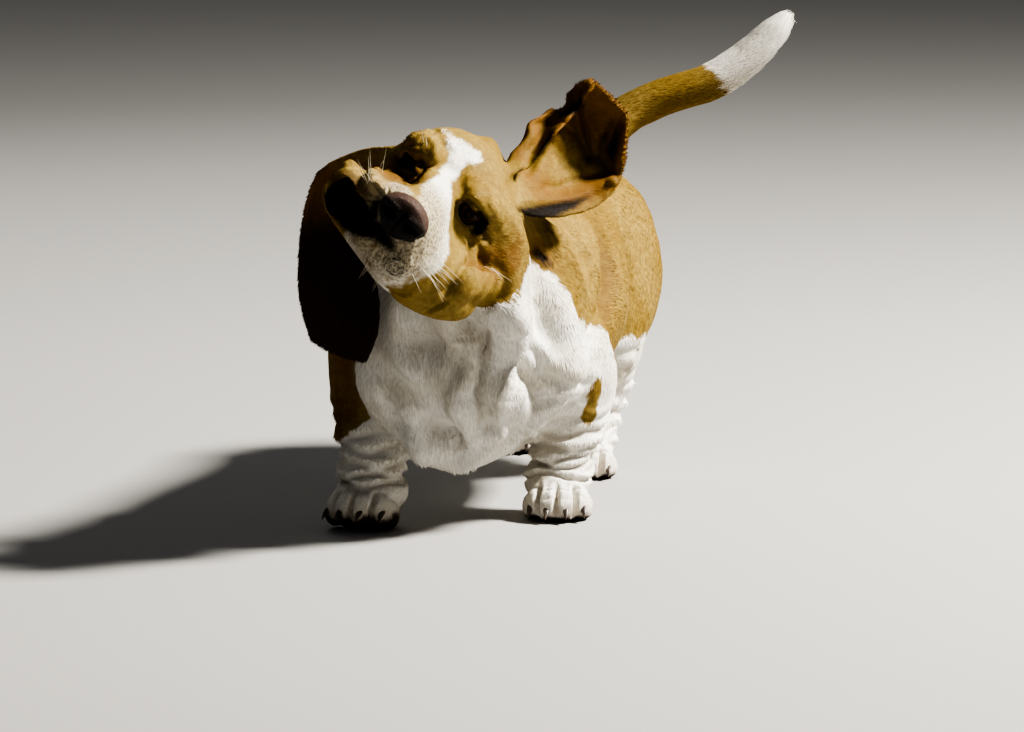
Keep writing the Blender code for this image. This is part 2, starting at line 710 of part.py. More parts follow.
# The hollows between the jaw and the lips of each side
LIP_HOLLOWS = {
    1.0: [
        (4.2, 3.0, -6.8, 0.4, 0.5),
        (4.8, 0.0, -7.7, 1.1, 1.2),
        (5.2, -3.2, -8.4, 1.4, 1.8),
        (4.6, -6.2, -8.9, 1.1, 1.6),
        (3.4, -8.4, -8.6, 0.4, 0.6),
    ],
    -1.0: [
        (-3.2, 3.0, -6.0, 0.4, 0.5),
        (-3.6, 0.0, -6.9, 1.1, 1.4),
        (-4.2, -3.2, -7.4, 1.5, 1.8),
        (-3.9, -6.0, -7.7, 1.3, 1.7),
        (-2.6, -8.0, -7.7, 0.4, 0.6),
    ],
}
# The cup of the flung lip, the lids round each eyeball, the slit between them, and the nostrils
LIP_CUP = (9.7, -6.3, -4.4, (3.3, 1.72, 2.4), (0, -38, 0))
LID_RADII = (1.5, 1.9, 1.6)
SLIT_PLACE = (1.6, 0.1, 0.1)
SLIT_RADII = (1.3, 1.85, 0.72)
SLIT_TURN = 26
NOSTRIL = ((1.5, 1.15, 0.1), (1.0, 0.45, 0.55), (0, 24, 18))
NOSTRIL_WING = ((0.9, 2.1, -0.3), (0.7, 0.9, 0.26), (0, 12, 0))
NOSE_POINT = (11.2, 0.0, -0.5)


def jaw(bm):
    tube(bm, JAW, steps=2, sides=14, place=HEAD)


def lip_hollow(bm, side):
    """The hollow between the jaw and the lips of one side."""
    tube(bm, LIP_HOLLOWS[side], steps=2, sides=14, place=HEAD)


def lip_cup(bm):
    head_ball(bm, *LIP_CUP)


def lid_slit(bm, side):
    forward, left, up = eye_point(side)
    ahead, out, above = SLIT_PLACE
    place = (forward + ahead, left + side * out, up + above)
    head_ball(bm, *place, SLIT_RADII, (0, 0, side * SLIT_TURN), subdivisions=2)


def eyeball(bm, side, grow=0.0):
    forward, left, up = eye_point(side)
    radius = (EYEBALL_RADIUS + grow) * 100
    head_ball(bm, forward, left, up, (radius, radius, radius))


def nose(bm, grow=0.0):
    wide = NOSE_WIDTH * 50 + grow * 100
    head_ball(bm, *NOSE_POINT, (wide * 0.66, wide, wide * 0.78), subdivisions=3)


def nostril(bm, side, shape):
    """A hollow of the nose, from its place, its radii and its turns on the left."""
    offset, radii, turn = shape
    ahead, out, above = offset
    place = (NOSE_POINT[0] + ahead, NOSE_POINT[1] + side * out, NOSE_POINT[2] + above)
    head_ball(bm, *place, radii, [side * angle for angle in turn], subdivisions=2)


def claws(bm, name):
    """Blunt claws, sunk well into the toes."""
    place = paw_matrix(name)
    length = CLAW_LENGTH * 100
    for across, ahead in TOES:
        start = Vector((across * 1.04, -ahead - 1.6, TOE_HEIGHT + 0.1))
        end = start + Vector((across * 0.08, -length * 0.86, -length * 0.5))
        bend = start.lerp(end, 0.6) + Vector((0, 0, 0.12))
        rows = [(*point, *size) for point, size in zip((start, bend, end), CLAW_RADII)]
        tube(bm, rows, steps=1, sides=7, place=place)


def finish(obj, name):
    colour, roughness, metallic = FINISHES[name]
    material = bpy.data.materials.new(f"{obj.name} {name}")
    material.use_nodes = True
    shader = material.node_tree.nodes["Principled BSDF"]
    shader.inputs["Base Color"].default_value = (*colour, 1)
    shader.inputs["Roughness"].default_value = roughness
    shader.inputs["Metallic"].default_value = metallic
    obj.data.materials.clear()
    obj.data.materials.append(material)


FINISH_OF = {
    "torso": "tan coat",
    "head": "tan coat",
    "neck": "white coat",
    "jaw": "white coat",
    "tail": "tan coat",
    "nose": "nose leather",
    "eye": "eye",
    "ear": "brown coat",
    "fore": "white coat",
    "hind": "white coat",
}


def main():
    for obj in list(bpy.data.objects):
        bpy.data.objects.remove(obj)
    body = mesh_object("flesh", bulk)
    fused(body, BULK_VOXEL, BULK_SMOOTH)
    extra = mesh_object("extra", details)
    bm = bmesh.new()
    bm.from_mesh(body.data)
    bm.from_mesh(extra.data)
    bm.to_mesh(body.data)
    bm.free()
    removed(extra)
    fused(body, DETAIL_VOXEL, DETAIL_SMOOTH)
    thinned(body, FLESH_TRIANGLES)
    lower_jaw = mesh_object("jaw", jaw)
    mouth = [mesh_object("mouth", lip_hollow, side) for side in SIDES.values()]
    line = grown(lower_jaw, MOUTH_GAP)
    line.data.transform(Matrix.Translation(HEAD.to_3x3() @ Vector((0, 0, -1.2 * MOUTH_GAP))))
    for cutter in (*mouth, mesh_object("cup", lip_cup), line):
        combined(body, cutter, "DIFFERENCE")
        removed(cutter)
    floor = mesh_object("floor", slab, (0, 0, 0), (0, 0, -1), 0.0)
    combined(body, floor, "DIFFERENCE")
    removed(floor)
    nodes = parted(body)
    head = nodes["head"]
    for side_name, side in SIDES.items():
        for cutter in (mesh_object("slit", lid_slit, side), mesh_object("socket", eyeball, side, GAP)):
            combined(head, cutter, "DIFFERENCE")
            removed(cutter)
        nodes["eye_" + side_name] = mesh_object("eye_" + side_name, eyeball, side)
    room = mesh_object("room", nose, GAP)
    combined(head, room, "DIFFERENCE")
    removed(room)
    nodes["nose"] = mesh_object("nose", nose)
    for side in SIDES.values():
        for shape in (NOSTRIL, NOSTRIL_WING):
            cutter = mesh_object("nostril", nostril, side, shape)
            combined(nodes["nose"], cutter, "DIFFERENCE")
            removed(cutter)
    nodes["jaw"] = lower_jaw
    nodes["ear_left"] = ear("ear_left", LEFT_EAR)
    nodes["ear_right"] = ear("ear_right", RIGHT_EAR)
    for name, places in (("jaw", ("head",)), ("ear_left", ("head", "neck")), ("ear_right", ("head",))):
        room = grown(nodes[name], 2 * GAP)
        for place in places:
            combined(nodes[place], room, "DIFFERENCE")
        removed(room)
    for name in PAWS:
        limb, side_name = name.split("_")
        added = mesh_object("claws", claws, name)
        combined(nodes[f"{limb}_paw_{side_name}"], added, "UNION")
        removed(added)
    dog = bpy.data.collections.new("Basset hound")
    bpy.context.scene.collection.children.link(dog)
    shift = Matrix.Translation((-MIDDLE[0], -MIDDLE[1], 0))
    for name, obj in nodes.items():
        largest_body(obj)
        obj.name = name
        obj.data.name = name
        obj.data.transform(shift)
        bpy.context.scene.collection.objects.unlink(obj)
        dog.objects.link(obj)
        finish(obj, FINISH_OF[name.split("_")[0]])


main()
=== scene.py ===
import math

import bmesh
import bpy
import numpy as np
from mathutils import Matrix, Vector
from mathutils.bvhtree import BVHTree


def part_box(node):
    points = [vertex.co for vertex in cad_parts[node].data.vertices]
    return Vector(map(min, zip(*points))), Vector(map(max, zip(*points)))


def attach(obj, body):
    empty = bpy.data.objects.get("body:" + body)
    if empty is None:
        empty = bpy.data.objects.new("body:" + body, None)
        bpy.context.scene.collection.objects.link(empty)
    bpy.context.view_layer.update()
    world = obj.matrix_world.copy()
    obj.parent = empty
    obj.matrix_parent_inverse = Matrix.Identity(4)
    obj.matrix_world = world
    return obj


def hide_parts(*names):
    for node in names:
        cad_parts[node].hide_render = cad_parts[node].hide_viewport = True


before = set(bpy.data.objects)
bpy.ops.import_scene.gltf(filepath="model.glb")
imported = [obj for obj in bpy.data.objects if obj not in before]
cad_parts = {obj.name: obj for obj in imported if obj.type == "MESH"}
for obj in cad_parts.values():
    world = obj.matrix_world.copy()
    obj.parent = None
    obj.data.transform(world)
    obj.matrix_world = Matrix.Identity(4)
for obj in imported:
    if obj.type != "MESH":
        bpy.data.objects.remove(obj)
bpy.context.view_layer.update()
print("frame loaded")

# the head's own axes, forward, left and up, worked out from how far it turns, nods and rolls, in degrees
headPose = {"turn": -4.1, "nod": 7.3, "roll": 41.9, "eyeMiddle": (-0.3, 0.0, 0.25), "drawnAt": (2.3, -19.5, 37.5)}


def nodeMiddle(name):
    low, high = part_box(name)
    return (low + high) / 2


def headFrame():
    turn = Matrix.Rotation(math.radians(headPose["turn"]), 3, "Z")
    nod = Matrix.Rotation(math.radians(headPose["nod"]), 3, "X")
    roll = Matrix.Rotation(math.radians(headPose["roll"]), 3, "Y")
    spin = turn @ nod @ roll
    axes = np.array([spin @ Vector((0, -1, 0)), spin @ Vector((1, 0, 0)), spin @ Vector((0, 0, 1))])
    between = np.array((nodeMiddle("eye_left") + nodeMiddle("eye_right")) / 2)
    middle = between - np.array(headPose["eyeMiddle"]) * 0.01 @ axes
    return axes, middle


headAxes, headMiddle = headFrame()
shift = headMiddle - np.array(headPose["drawnAt"]) * 0.01  # from the drawn body to the frame's middle


def toHead(points):
    return (points - headMiddle) @ headAxes.T * 100


def fromHead(*place):
    return np.array(place) * 0.01 @ headAxes + headMiddle


def toBody(points):
    return (points - shift) * 100


def fromBody(*place):
    return np.array(place) * 0.01 + shift


# right, up and nearer, as the camera sees them
cameraAxes = np.array([(0.9724, 0.2334, 0.0), (-0.0305, 0.1269, 0.9914), (0.2314, -0.9640, 0.1305)])


def fromCamera(*place):
    return np.array(place) @ cameraAxes * 0.01 + shift


def meshPoints(mesh):
    points = np.empty(len(mesh.vertices) * 3, np.float32)
    mesh.vertices.foreach_get("co", points)
    return points.reshape(-1, 3).astype(float)


def meshNormals(mesh):
    normals = np.empty(len(mesh.vertices) * 3, np.float32)
    mesh.vertex_normals.foreach_get("vector", normals)
    return normals.reshape(-1, 3).astype(float)


def meshEdges(mesh):
    edges = np.empty(len(mesh.edges) * 2, np.int32)
    mesh.edges.foreach_get("vertices", edges)
    return edges.reshape(-1, 2)


def setPoints(mesh, points):
    mesh.vertices.foreach_set("co", points.astype(np.float32).ravel())
    mesh.update()


def plainMesh(obj):
    # the object with its modifiers worked into its mesh
    graph = bpy.context.evaluated_depsgraph_get()
    made = bpy.data.meshes.new_from_object(obj.evaluated_get(graph))
    obj.modifiers.clear()
    obj.data = made
    return obj


def newObject(name, mesh):
    obj = bpy.data.objects.new(name, mesh)
    bpy.context.scene.collection.objects.link(obj)
    return obj


def unit(vectors):
    return vectors / np.maximum(np.linalg.norm(vectors, axis=-1, keepdims=True), 1e-9)


def bump(distance, width):
    return np.exp(-((distance / width) ** 2))


def step(value, start, end):
    t = np.clip((value - start) / (end - start), 0, 1)
    return t * t * (3 - 2 * t)


def eased(values, edges, rounds, keep=0.0):
    # each value drawn towards those of its neighbours
    count = np.bincount(edges.ravel(), minlength=len(values))[:, None]
    flat = values.reshape(len(values), -1)
    for _ in range(rounds):
        total = np.zeros_like(flat)
        for k in range(flat.shape[1]):
            total[:, k] = np.bincount(edges[:, 0], flat[edges[:, 1], k], len(flat))
            total[:, k] += np.bincount(edges[:, 1], flat[edges[:, 0], k], len(flat))
        flat = keep * flat + (1 - keep) * total / np.maximum(count, 1)
    return flat.reshape(values.shape)


def easedNear(values, edges, weight, rounds):
    # the same where the weight says, and worked out only there
    used = edges[np.all(weight[edges] > 0.01, axis=1)]
    places, renamed = np.unique(used, return_inverse=True)
    near = eased(values[places], renamed.reshape(used.shape), rounds)
    values = values.copy()
    values[places] += (near - values[places]) * weight[places][:, None]
    return values


def nearLine(points, line):
    # how far each point is from a line of points, and how far along it the nearest place is, from 0 to 1
    line = np.array(line, float)
    best = np.full(len(points), 1e9)
    along = np.zeros(len(points))
    lengths = np.linalg.norm(np.diff(line, axis=0), axis=1)
    starts = np.concatenate([[0], np.cumsum(lengths)])
    for i, (a, b) in enumerate(zip(line, line[1:])):
        t = np.clip((points - a) @ (b - a) / max(lengths[i] ** 2, 1e-9), 0, 1)
        distance = np.linalg.norm(points - a - t[:, None] * (b - a), axis=1)
        closer = distance < best
        best[closer] = distance[closer]
        along[closer] = (starts[i] + t[closer] * lengths[i]) / starts[-1]
    return best, along


# One skin over all the nodes of flesh
skin = {
    "nodes": ["torso", "neck", "head", "jaw", "tail", "ear_left", "ear_right"],
    "voxel": 0.0017,
    "overlap": 0.00045,
    "softenings": 4,
    "triangles": 190000,
    "detail": 1.0,
    "depth": {"torso": 0.0022, "neck": 0.0022, "tail": 0.0022, "head": 0.0012, "jaw": 0.0010, "ear": 0.0009, "leg": 0.0016, "paw": 0.0009},
}
limbs = [f"{limb}_{part}_{side}" for limb in ("fore", "hind") for part in ("leg", "paw") for side in ("left", "right")]
skin["nodes"] += limbs


# Loose skin that the solids leave out, and hollows cut deeper: each is a ball in head centimetres, with its middle,
# its radii and how far it is turned about the head's forward, left and up lines, in degrees. The ear's notch is given
# as the camera sees it, right, up and nearer
looseSkin = {
    "cheekFoldA": ((3.6, 8.3, -5.2), (2.6, 1.9, 2.5), (0, 0, 0)),
    "cheekFoldB": ((1.2, 9.2, -5.4), (2.6, 1.8, 2.3), (0, 0, 0)),
    "cheekFoldC": ((-1.2, 9.8, -5.4), (2.6, 1.8, 2.4), (0, 0, 0)),
    "rightLid": ((-0.35, -3.9, 0.32), (1.45, 1.5, 1.42), (0, 0, 0)),
}
hollows = {
    "lipCup": ("head", (10.1, -4.5, -4.6), (2.3, 2.0, 2.0), (0, 0, 0)),
    "lipGap": ("head", (11.1, -2.7, -4.3), (1.6, 1.5, 0.9), (20, 0, 0)),
    "leftEye": ("head", (1.35, 4.1, 0.15), (1.5, 2.2, 0.85), (-20, 0, 22)),
    "leftHaw": ("head", (0.7, 5.4, -0.8), (1.3, 1.0, 0.6), (-35, 0, 28)),
    "earNotch": ("ear_left", (9.73, 44.55, 11.2), (0.95, 1.3, 9.0), (0, 0, 0)),
    "rightEye": ("rightLid", (1.3, -4.1, -0.5), (1.7, 1.9, 0.34), (0, 0, -20)),
}


def roundBall(name, middle, radii, turn, place=fromHead):
    shape = bmesh.new()
    bmesh.ops.create_icosphere(shape, subdivisions=4, radius=1.0)
    spin = Matrix.Rotation(math.radians(turn[2]), 3, "Z") @ Matrix.Rotation(math.radians(turn[1]), 3, "Y")
    spin = spin @ Matrix.Rotation(math.radians(turn[0]), 3, "X")
    for vert in shape.verts:
        vert.co = place(*(spin @ Vector([c * r for c, r in zip(vert.co, radii)]) + Vector(middle)))
    bmesh.ops.recalc_face_normals(shape, faces=shape.faces)
    mesh = bpy.data.meshes.new(name)
    shape.to_mesh(mesh)
    shape.free()
    return newObject(name, mesh)


def cutOut(obj, cutter):
    cut = obj.modifiers.new("cut", "BOOLEAN")
    cut.operation = "DIFFERENCE"
    cut.object = cutter
    plainMesh(obj)
    bpy.data.objects.remove(cutter)


def fleshParts():
    # the meshes that the skin is made from: the nodes, their hollows cut deeper, and the loose skin
    parts = {}
    for name in skin["nodes"]:
        part = bmesh.new()
        part.from_mesh(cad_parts[name].data)
        bmesh.ops.remove_doubles(part, verts=part.verts, dist=1e-6)
        mesh = bpy.data.meshes.new(name + "Copy")
        part.to_mesh(mesh)
        part.free()
        parts[name] = newObject(name + "Copy", mesh)
    for name, shape in looseSkin.items():
        parts[name] = roundBall(name, *shape)
    for name, (owner, *shape) in hollows.items():
        cutOut(parts[owner], roundBall(name, *shape, place=fromCamera if owner == "ear_left" else fromHead))
    return parts


def fleshFaces():
    # all of them as one, each swollen a little so that they overlap, and which node each face is of
    whole = bmesh.new()
    owners = []
    for name, obj in fleshParts().items():
        part = bmesh.new()
        part.from_mesh(obj.data)
        part.normal_update()
        for vert in part.verts:
            vert.co += vert.normal * skin["overlap"]
        part.to_mesh(obj.data)
        owners += [name if name in skin["nodes"] else "head"] * len(obj.data.polygons)
        whole.from_mesh(obj.data)
        part.free()
        bpy.data.objects.remove(obj)
    return whole, owners


def makeSkin():
    whole, owners = fleshFaces()
    tree = BVHTree.FromBMesh(whole)
    mesh = bpy.data.meshes.new("skin")
    whole.to_mesh(mesh)
    whole.free()
    obj = newObject("skin", mesh)
    remesh = obj.modifiers.new("oneSkin", "REMESH")
    remesh.mode = "VOXEL"
    remesh.voxel_size = skin["voxel"]
    plainMesh(obj)
    print("skin joined", len(obj.data.vertices))
    return obj, tree, owners


def ownersOf(points, tree, owners):
    return np.array([owners[tree.find_nearest(point)[2]] for point in points.tolist()])


def depthOf(labels):
    depths = np.empty(len(labels))
    for name in set(labels):
        part = name.split("_")[1] if name.startswith(("fore", "hind")) else name.split("_")[0]
        depths[labels == name] = skin["depth"][part]
    return depths


skinObject, fleshTree, fleshOwners = makeSkin()
skinMesh = skinObject.data
skinEdges = meshEdges(skinMesh)
points = meshPoints(skinMesh)
points = eased(points, skinEdges, skin["softenings"], keep=0.4)
setPoints(skinMesh, points)
labels = ownersOf(points, fleshTree, fleshOwners)
depth = eased(depthOf(labels), skinEdges, 12)
points = points - meshNormals(skinMesh) * (depth + skin["overlap"])[:, None]
setPoints(skinMesh, points)
print("skin set in")

# Folds and creases of the skin. Each is a line of places, and how deep it goes, how wide it is and how far its
# sides swell, in centimetres. A fold with a depth below zero stands out
headFolds = {
    "noseWrinkleA": ([(8.9, -4.7, -1.9), (9.5, -4.0, -1.7), (9.9, -3.6, -2.2), (10.2, -3.5, -3.0)], 0.2, 0.14, 0.12),
    "noseWrinkleB": ([(9.5, -4.6, -0.7), (9.7, -3.4, -0.8), (10.1, -2.8, -0.9)], 0.2, 0.14, 0.12),
    "noseWrinkleC": ([(9.5, -4.5, -2.8), (9.9, -3.7, -2.1), (10.2, -2.7, -1.2)], 0.2, 0.14, 0.12),
    "noseWrinkleD": ([(8.9, -3.6, 0.3), (9.5, -3.1, -0.1), (10.0, -2.8, -0.6)], 0.18, 0.14, 0.1),
    "noseWrinkleE": ([(8.0, -5.6, -0.9), (8.6, -5.2, -1.2), (9.0, -4.9, -2.2)], 0.2, 0.16, 0.12),
    "rightRing": ([(-0.6, -5.7, 1.7), (-0.4, -4.3, 2.7), (0.7, -3.2, 3.0), (1.6, -2.4, 2.3), (2.4, -2.0, 1.6), (4.0, -2.4, 1.1), (5.4, -3.0, 0.6)], -0.62, 0.6, 0.0),
    "rightRingBehind": ([(-2.4, -5.4, 2.2), (-2.2, -3.4, 3.1), (-1.2, -1.9, 3.2), (0.4, -1.2, 2.4)], 0.22, 0.4, 0.08),
    "rightCrease": ([(0.0, -5.9, 0.4), (0.4, -5.0, 1.5), (1.0, -4.2, 2.0), (1.5, -3.4, 1.6), (2.2, -2.9, 1.0)], 0.42, 0.3, 0.1),
    "bridgeDip": ([(3.0, -4.4, 0.0), (5.0, -3.9, 0.2), (6.8, -3.7, 0.2)], 0.7, 1.0, 0.0),
    "bridgeEdge": ([(1.6, -3.0, 0.5), (3.2, -2.7, 1.1), (5.0, -2.5, 1.2), (6.8, -2.6, 0.9)], 1.1, 0.95, 0.0),
    "rightPit": ([(0.6, -5.2, -0.7), (1.6, -4.2, -0.3), (2.8, -3.4, 0.3), (4.0, -2.9, 0.6)], 0.5, 0.42, 0.12),
    "rightBelow": ([(0.8, -6.0, -1.7), (2.2, -5.2, -0.9), (4.0, -4.4, -0.1), (5.6, -4.2, -0.1)], -0.42, 0.55, 0.0),
    "crownCrease": ([(-2.1, -5.0, 2.6), (-3.9, -4.6, 2.7), (-3.7, -4.0, 2.9)], 0.34, 0.26, 0.2),
    "crownFold": ([(-0.9, -4.8, 2.6), (-2.2, -4.0, 3.0), (-2.3, -2.9, 3.2)], -0.28, 0.42, 0.0),
    "leftBrow": ([(1.4, 1.6, 1.8), (-0.2, 1.7, 2.9), (-1.0, 3.3, 3.2), (0.2, 4.6, 2.6), (-0.8, 6.1, 1.4)], -0.4, 0.65, 0.0),
    "leftLidTop": ([(2.4, 2.3, 1.1), (1.9, 3.0, 2.0), (1.7, 4.0, 2.0), (0.8, 5.2, 1.3)], 0.22, 0.22, 0.1),
    "leftCanthus": ([(0.8, 5.2, 0.7), (-0.2, 6.0, -0.2), (-1.4, 6.7, -1.3)], 0.5, 0.34, 0.16),
    "leftLidBelow": ([(1.4, 2.4, -0.5), (1.5, 4.0, -1.3), (0.7, 5.6, -1.8), (-0.6, 6.8, -2.2)], 0.26, 0.3, 0.18),
    "leftCheek": ([(0.5, 5.8, -1.9), (1.3, 7.1, -2.9), (4.6, 7.8, -3.8), (6.5, 7.8, -5.4)], 0.4, 0.45, 0.22),
    "leftCheekB": ([(-0.8, 7.4, -2.9), (0.6, 8.6, -3.6), (2.4, 9.6, -5.2)], 0.4, 0.45, 0.2),
    "mouthCorner": ([(9.9, 3.6, -7.9), (9.7, 4.6, -7.7), (9.3, 5.5, -6.9)], 0.3, 0.2, 0.16),
    "lipLine": ([(10.4, 0.4, -7.6), (10.2, 2.2, -7.8), (9.6, 3.8, -8.3)], 0.26, 0.2, 0.12),
    "flewFold": ([(7.1, 7.8, -8.4), (6.8, 8.1, -7.2), (6.1, 8.5, -6.2)], 0.36, 0.22, 0.14),
    "flewValley": ([(3.5, 8.8, -4.0), (4.8, 8.9, -5.2), (6.0, 8.4, -6.4)], 0.35, 0.4, 0.15),
    "philtrum": ([(11.9, -0.2, -2.6), (11.4, 0.2, -4.6), (10.4, 0.6, -7.6)], 0.2, 0.18, 0.1),
    "rightLip": ([(9.9, -2.4, -6.0), (10.6, -1.0, -5.0), (11.1, -0.9, -4.2)], 0.25, 0.3, 0.1),
}
bodyFolds = {
    "rope": ([(7.3, -17.1, 26.1), (8.6, -15.8, 24.7), (8.8, -13.5, 22.6), (8.1, -13.0, 21.1), (7.7, -12.4, 18.7), (7.1, -12.4, 17.2), (6.4, -12.4, 15.1), (6.1, -11.6, 13.2), (6.4, -10.3, 11.8)], -2.2, 1.5, 0.1),
    "ropeSide": ([(5.6, -14.0, 19.4), (4.9, -14.8, 17.8), (3.8, -14.4, 15.9), (2.2, -13.5, 13.8)], -1.5, 1.9, 0.1),
    "underFlew": ([(2.6, -15.2, 22.0), (2.6, -15.0, 20.6)], -0.9, 1.0, 0.0),
    "keel": ([(6.3, -9.9, 11.4), (5.1, -9.6, 10.0), (3.5, -9.0, 8.2), (1.2, -7.6, 6.6)], -0.9, 1.1, 0.0),
    "lobe": ([(-2.6, -11.4, 10.4), (-2.3, -10.2, 8.4), (-1.8, -9.4, 7.2)], -1.0, 1.1, 0.0),
    "underEar": ([(8.5, -14.9, 35.1), (9.6, -10.3, 34.3), (11.0, -7.4, 34.2), (12.4, -4.5, 34.5), (14.1, -1.6, 35.2), (15.8, -0.2, 36.1)], 1.6, 0.55, 0.3),
    "shoulder": ([(9.4, -13.0, 24.2), (9.2, -10.2, 20.8), (10.8, -7.6, 18.8), (12.7, -5.2, 17.4), (13.9, 1.2, 16.0)], -0.8, 1.6, 0.0),
    "band": ([(9.7, -9.4, 16.0), (11.4, -5.7, 15.5), (12.3, -0.2, 13.8), (13.4, 1.8, 14.2)], -0.35, 0.7, 0.0),
    "ropeValley": ([(4.0, -15.3, 23.4), (5.6, -15.3, 22.1), (5.9, -14.4, 20.4), (5.8, -13.9, 19.0), (5.2, -13.4, 17.4), (4.6, -13.2, 16.0), (4.9, -12.1, 14.5), (5.2, -11.4, 12.9)], 2.4, 1.05, 0.2),
    "farValley": ([(9.3, -12.2, 21.3), (8.9, -11.6, 19.2), (9.0, -10.9, 17.7), (9.8, -9.6, 16.6), (9.8, -6.7, 13.9)], 1.6, 1.2, 0.2),
    "shoulderValley": ([(8.9, -11.9, 22.8), (9.3, -9.8, 19.9), (10.5, -7.9, 17.6), (11.7, -5.7, 16.4), (12.9, -0.2, 15.0)], 0.55, 0.6, 0.2),
    "chestShade": ([(-3.3, -14.0, 21.0), (-0.7, -13.9, 21.0), (1.7, -14.9, 20.1), (3.1, -14.4, 18.8)], 1.2, 1.6, 0.1),
    "lowHollow": ([(-1.1, -12.1, 12.4), (0.2, -11.7, 11.6), (1.5, -11.6, 10.2), (2.2, -10.2, 8.6)], 2.0, 1.3, 0.25),
    "leftPit": ([(-5.9, -11.9, 14.8), (-4.7, -10.9, 12.7), (-2.8, -11.9, 11.0)], 0.7, 0.6, 0.2),
    "rightPit": ([(9.6, -6.7, 13.5), (11.5, -4.6, 14.2), (13.0, 0.8, 13.5)], 0.7, 0.55, 0.2),
    "rightPitLow": ([(6.4, -1.7, 8.4), (8.2, -5.3, 10.6), (9.2, -5.9, 12.4), (9.6, -6.7, 13.5)], 0.8, 0.8, 0.2),
    "midHollow": ([(7.0, -10.6, 13.1), (7.2, -8.2, 11.0), (8.0, -7.0, 11.4), (9.0, -6.4, 12.4)], 0.6, 0.7, 0.1),
    "underRope": ([(7.4, -13.4, 20.4), (6.6, -12.8, 18.4)], 0.35, 0.3, 0.1),
    "chestLineA": ([(-6.4, -12.6, 18.6), (-3.6, -13.6, 16.4), (-0.4, -13.8, 14.4), (2.0, -12.6, 12.2)], 0.7, 1.1, 0.3),
    "behindShoulder": ([(8.4, 22.0, 31.6), (10.4, 20.5, 29.0), (11.8, 17.5, 26.0), (12.8, 13.0, 23.2), (13.6, 8.0, 20.4)], 1.8, 2.0, 0.3),
    "shoulderLine": ([(8.5, 3.6, 31.8), (10.4, 7.4, 29.1), (11.9, 8.6, 26.2), (12.5, 9.0, 24.0)], -0.5, 0.7, 0.1),
    "neckStrandA": ([(8.5, -5.4, 32.6), (9.2, -4.2, 31.0), (9.7, -4.6, 29.4)], -0.5, 0.4, 0.1),
    "neckStrandB": ([(9.4, -3.0, 32.4), (10.0, -2.4, 31.0), (10.4, -2.6, 29.6)], -0.45, 0.4, 0.1),
    "neckSide": ([(8.2, 4.6, 31.6), (10.9, -1.0, 29.9), (12.4, 0.8, 25.7), (12.7, 4.5, 22.9)], -0.45, 1.0, 0.0),
    "neckBehind": ([(7.6, 7.6, 32.0), (11.6, 5.4, 29.0), (12.9, 6.6, 25.4)], 0.4, 1.1, 0.1),
    "thighFront": ([(9.4, 24.0, 30.0), (11.4, 23.0, 26.0), (12.3, 21.0, 21.0), (12.4, 22.0, 17.0)], 0.7, 1.6, 0.2),
    "thighLeft": ([(9.5, 41.0, 27.0), (10.0, 42.0, 22.0), (9.0, 40.0, 17.0)], -0.6, 3.2, 0.0),
    "thighRight": ([(-9.5, 43.0, 27.0), (-10.0, 45.0, 22.0), (-9.0, 46.0, 17.0)], -0.8, 3.2, 0.0),
    "flankLeft": ([(10.5, 31.0, 26.0), (10.5, 30.0, 18.0)], 0.5, 2.2, 0.0),
    "flankRight": ([(-10.5, 34.0, 26.0), (-10.5, 33.0, 18.0)], 0.6, 2.2, 0.0),
    "elbow": ([(13.8, 0.4, 17.0), (14.0, 2.2, 14.6), (13.4, 3.0, 11.6)], -0.3, 0.8, 0.0),
}
# Each paw's place, how far it turns out and lifts in degrees, and its scale; and its toes, across and ahead of it
paws = {
    "fore_paw_left": (9.6, 2.7, 10, 0, 0.93),
    "fore_paw_right": (-8.8, -8.6, -8, 9, 1.0),
    "hind_paw_left": (6.1, 32.6, 6, 0, 0.84),
    "hind_paw_right": (-6.6, 50.0, -6, 0, 0.84),
}
toes = [(-2.9, 0.7), (-1.05, 2.0), (1.05, 2.0), (2.9, 0.7)]


def pawMatrix(name):
    x, y, out, lift, scale = paws[name]
    place = Matrix.Translation(Vector((x, y, 0)))
    return place @ Matrix.Rotation(math.radians(out), 4, "Z") @ Matrix.Rotation(math.radians(-lift), 4, "X") @ Matrix.Scale(scale, 4)


def pawFolds():
    # the clefts between the toes, and the knuckle of each
    made = {}
    for name in paws:
        place = pawMatrix(name)
        for across, ahead in ((-1.98, 1.35), (0.0, 2.0), (1.98, 1.35)):
            line = [(across * 0.85, 0.4 - ahead, 4.3), (across, -ahead - 1.2, 3.2), (across * 1.03, -ahead - 2.2, 2.0), (across * 1.03, -ahead - 2.4, 0.2)]
            made[f"{name}Cleft{across}"] = ([tuple(place @ Vector(spot)) for spot in line], 0.75, 0.26, 0.2)
        for across, ahead in toes:
            line = [(across, -ahead - 1.0, 3.4), (across, -ahead - 2.0, 2.9)]
            made[f"{name}Knuckle{across}"] = ([tuple(place @ Vector(spot)) for spot in line], -0.3, 0.6, 0.0)
            line = [(across * 0.94 - 0.5, -ahead - 1.0, 3.7), (across * 0.94 + 0.5, -ahead - 1.0, 3.7)]
            made[f"{name}Wrinkle{across}"] = ([tuple(place @ Vector(spot)) for spot in line], 0.18, 0.16, 0.08)
    return made


# Creases round each leg: how far up each is, how much it slants, how deep and how wide, in centimetres
legCreases = {
    "fore": [(4.7, 0.06, 0.42, 0.26), (5.7, -0.05, 0.48, 0.3), (6.8, 0.1, 0.46, 0.32), (8.0, 0.16, 0.42, 0.36), (9.6, 0.2, 0.36, 0.42), (11.4, 0.22, 0.24, 0.5)],
    "hind": [(5.2, 0.1, 0.25, 0.3), (6.6, -0.12, 0.32, 0.4), (8.4, 0.25, 0.34, 0.6), (10.6, 0.3, 0.28, 0.65), (12.8, 0.35, 0.22, 0.7)],
}
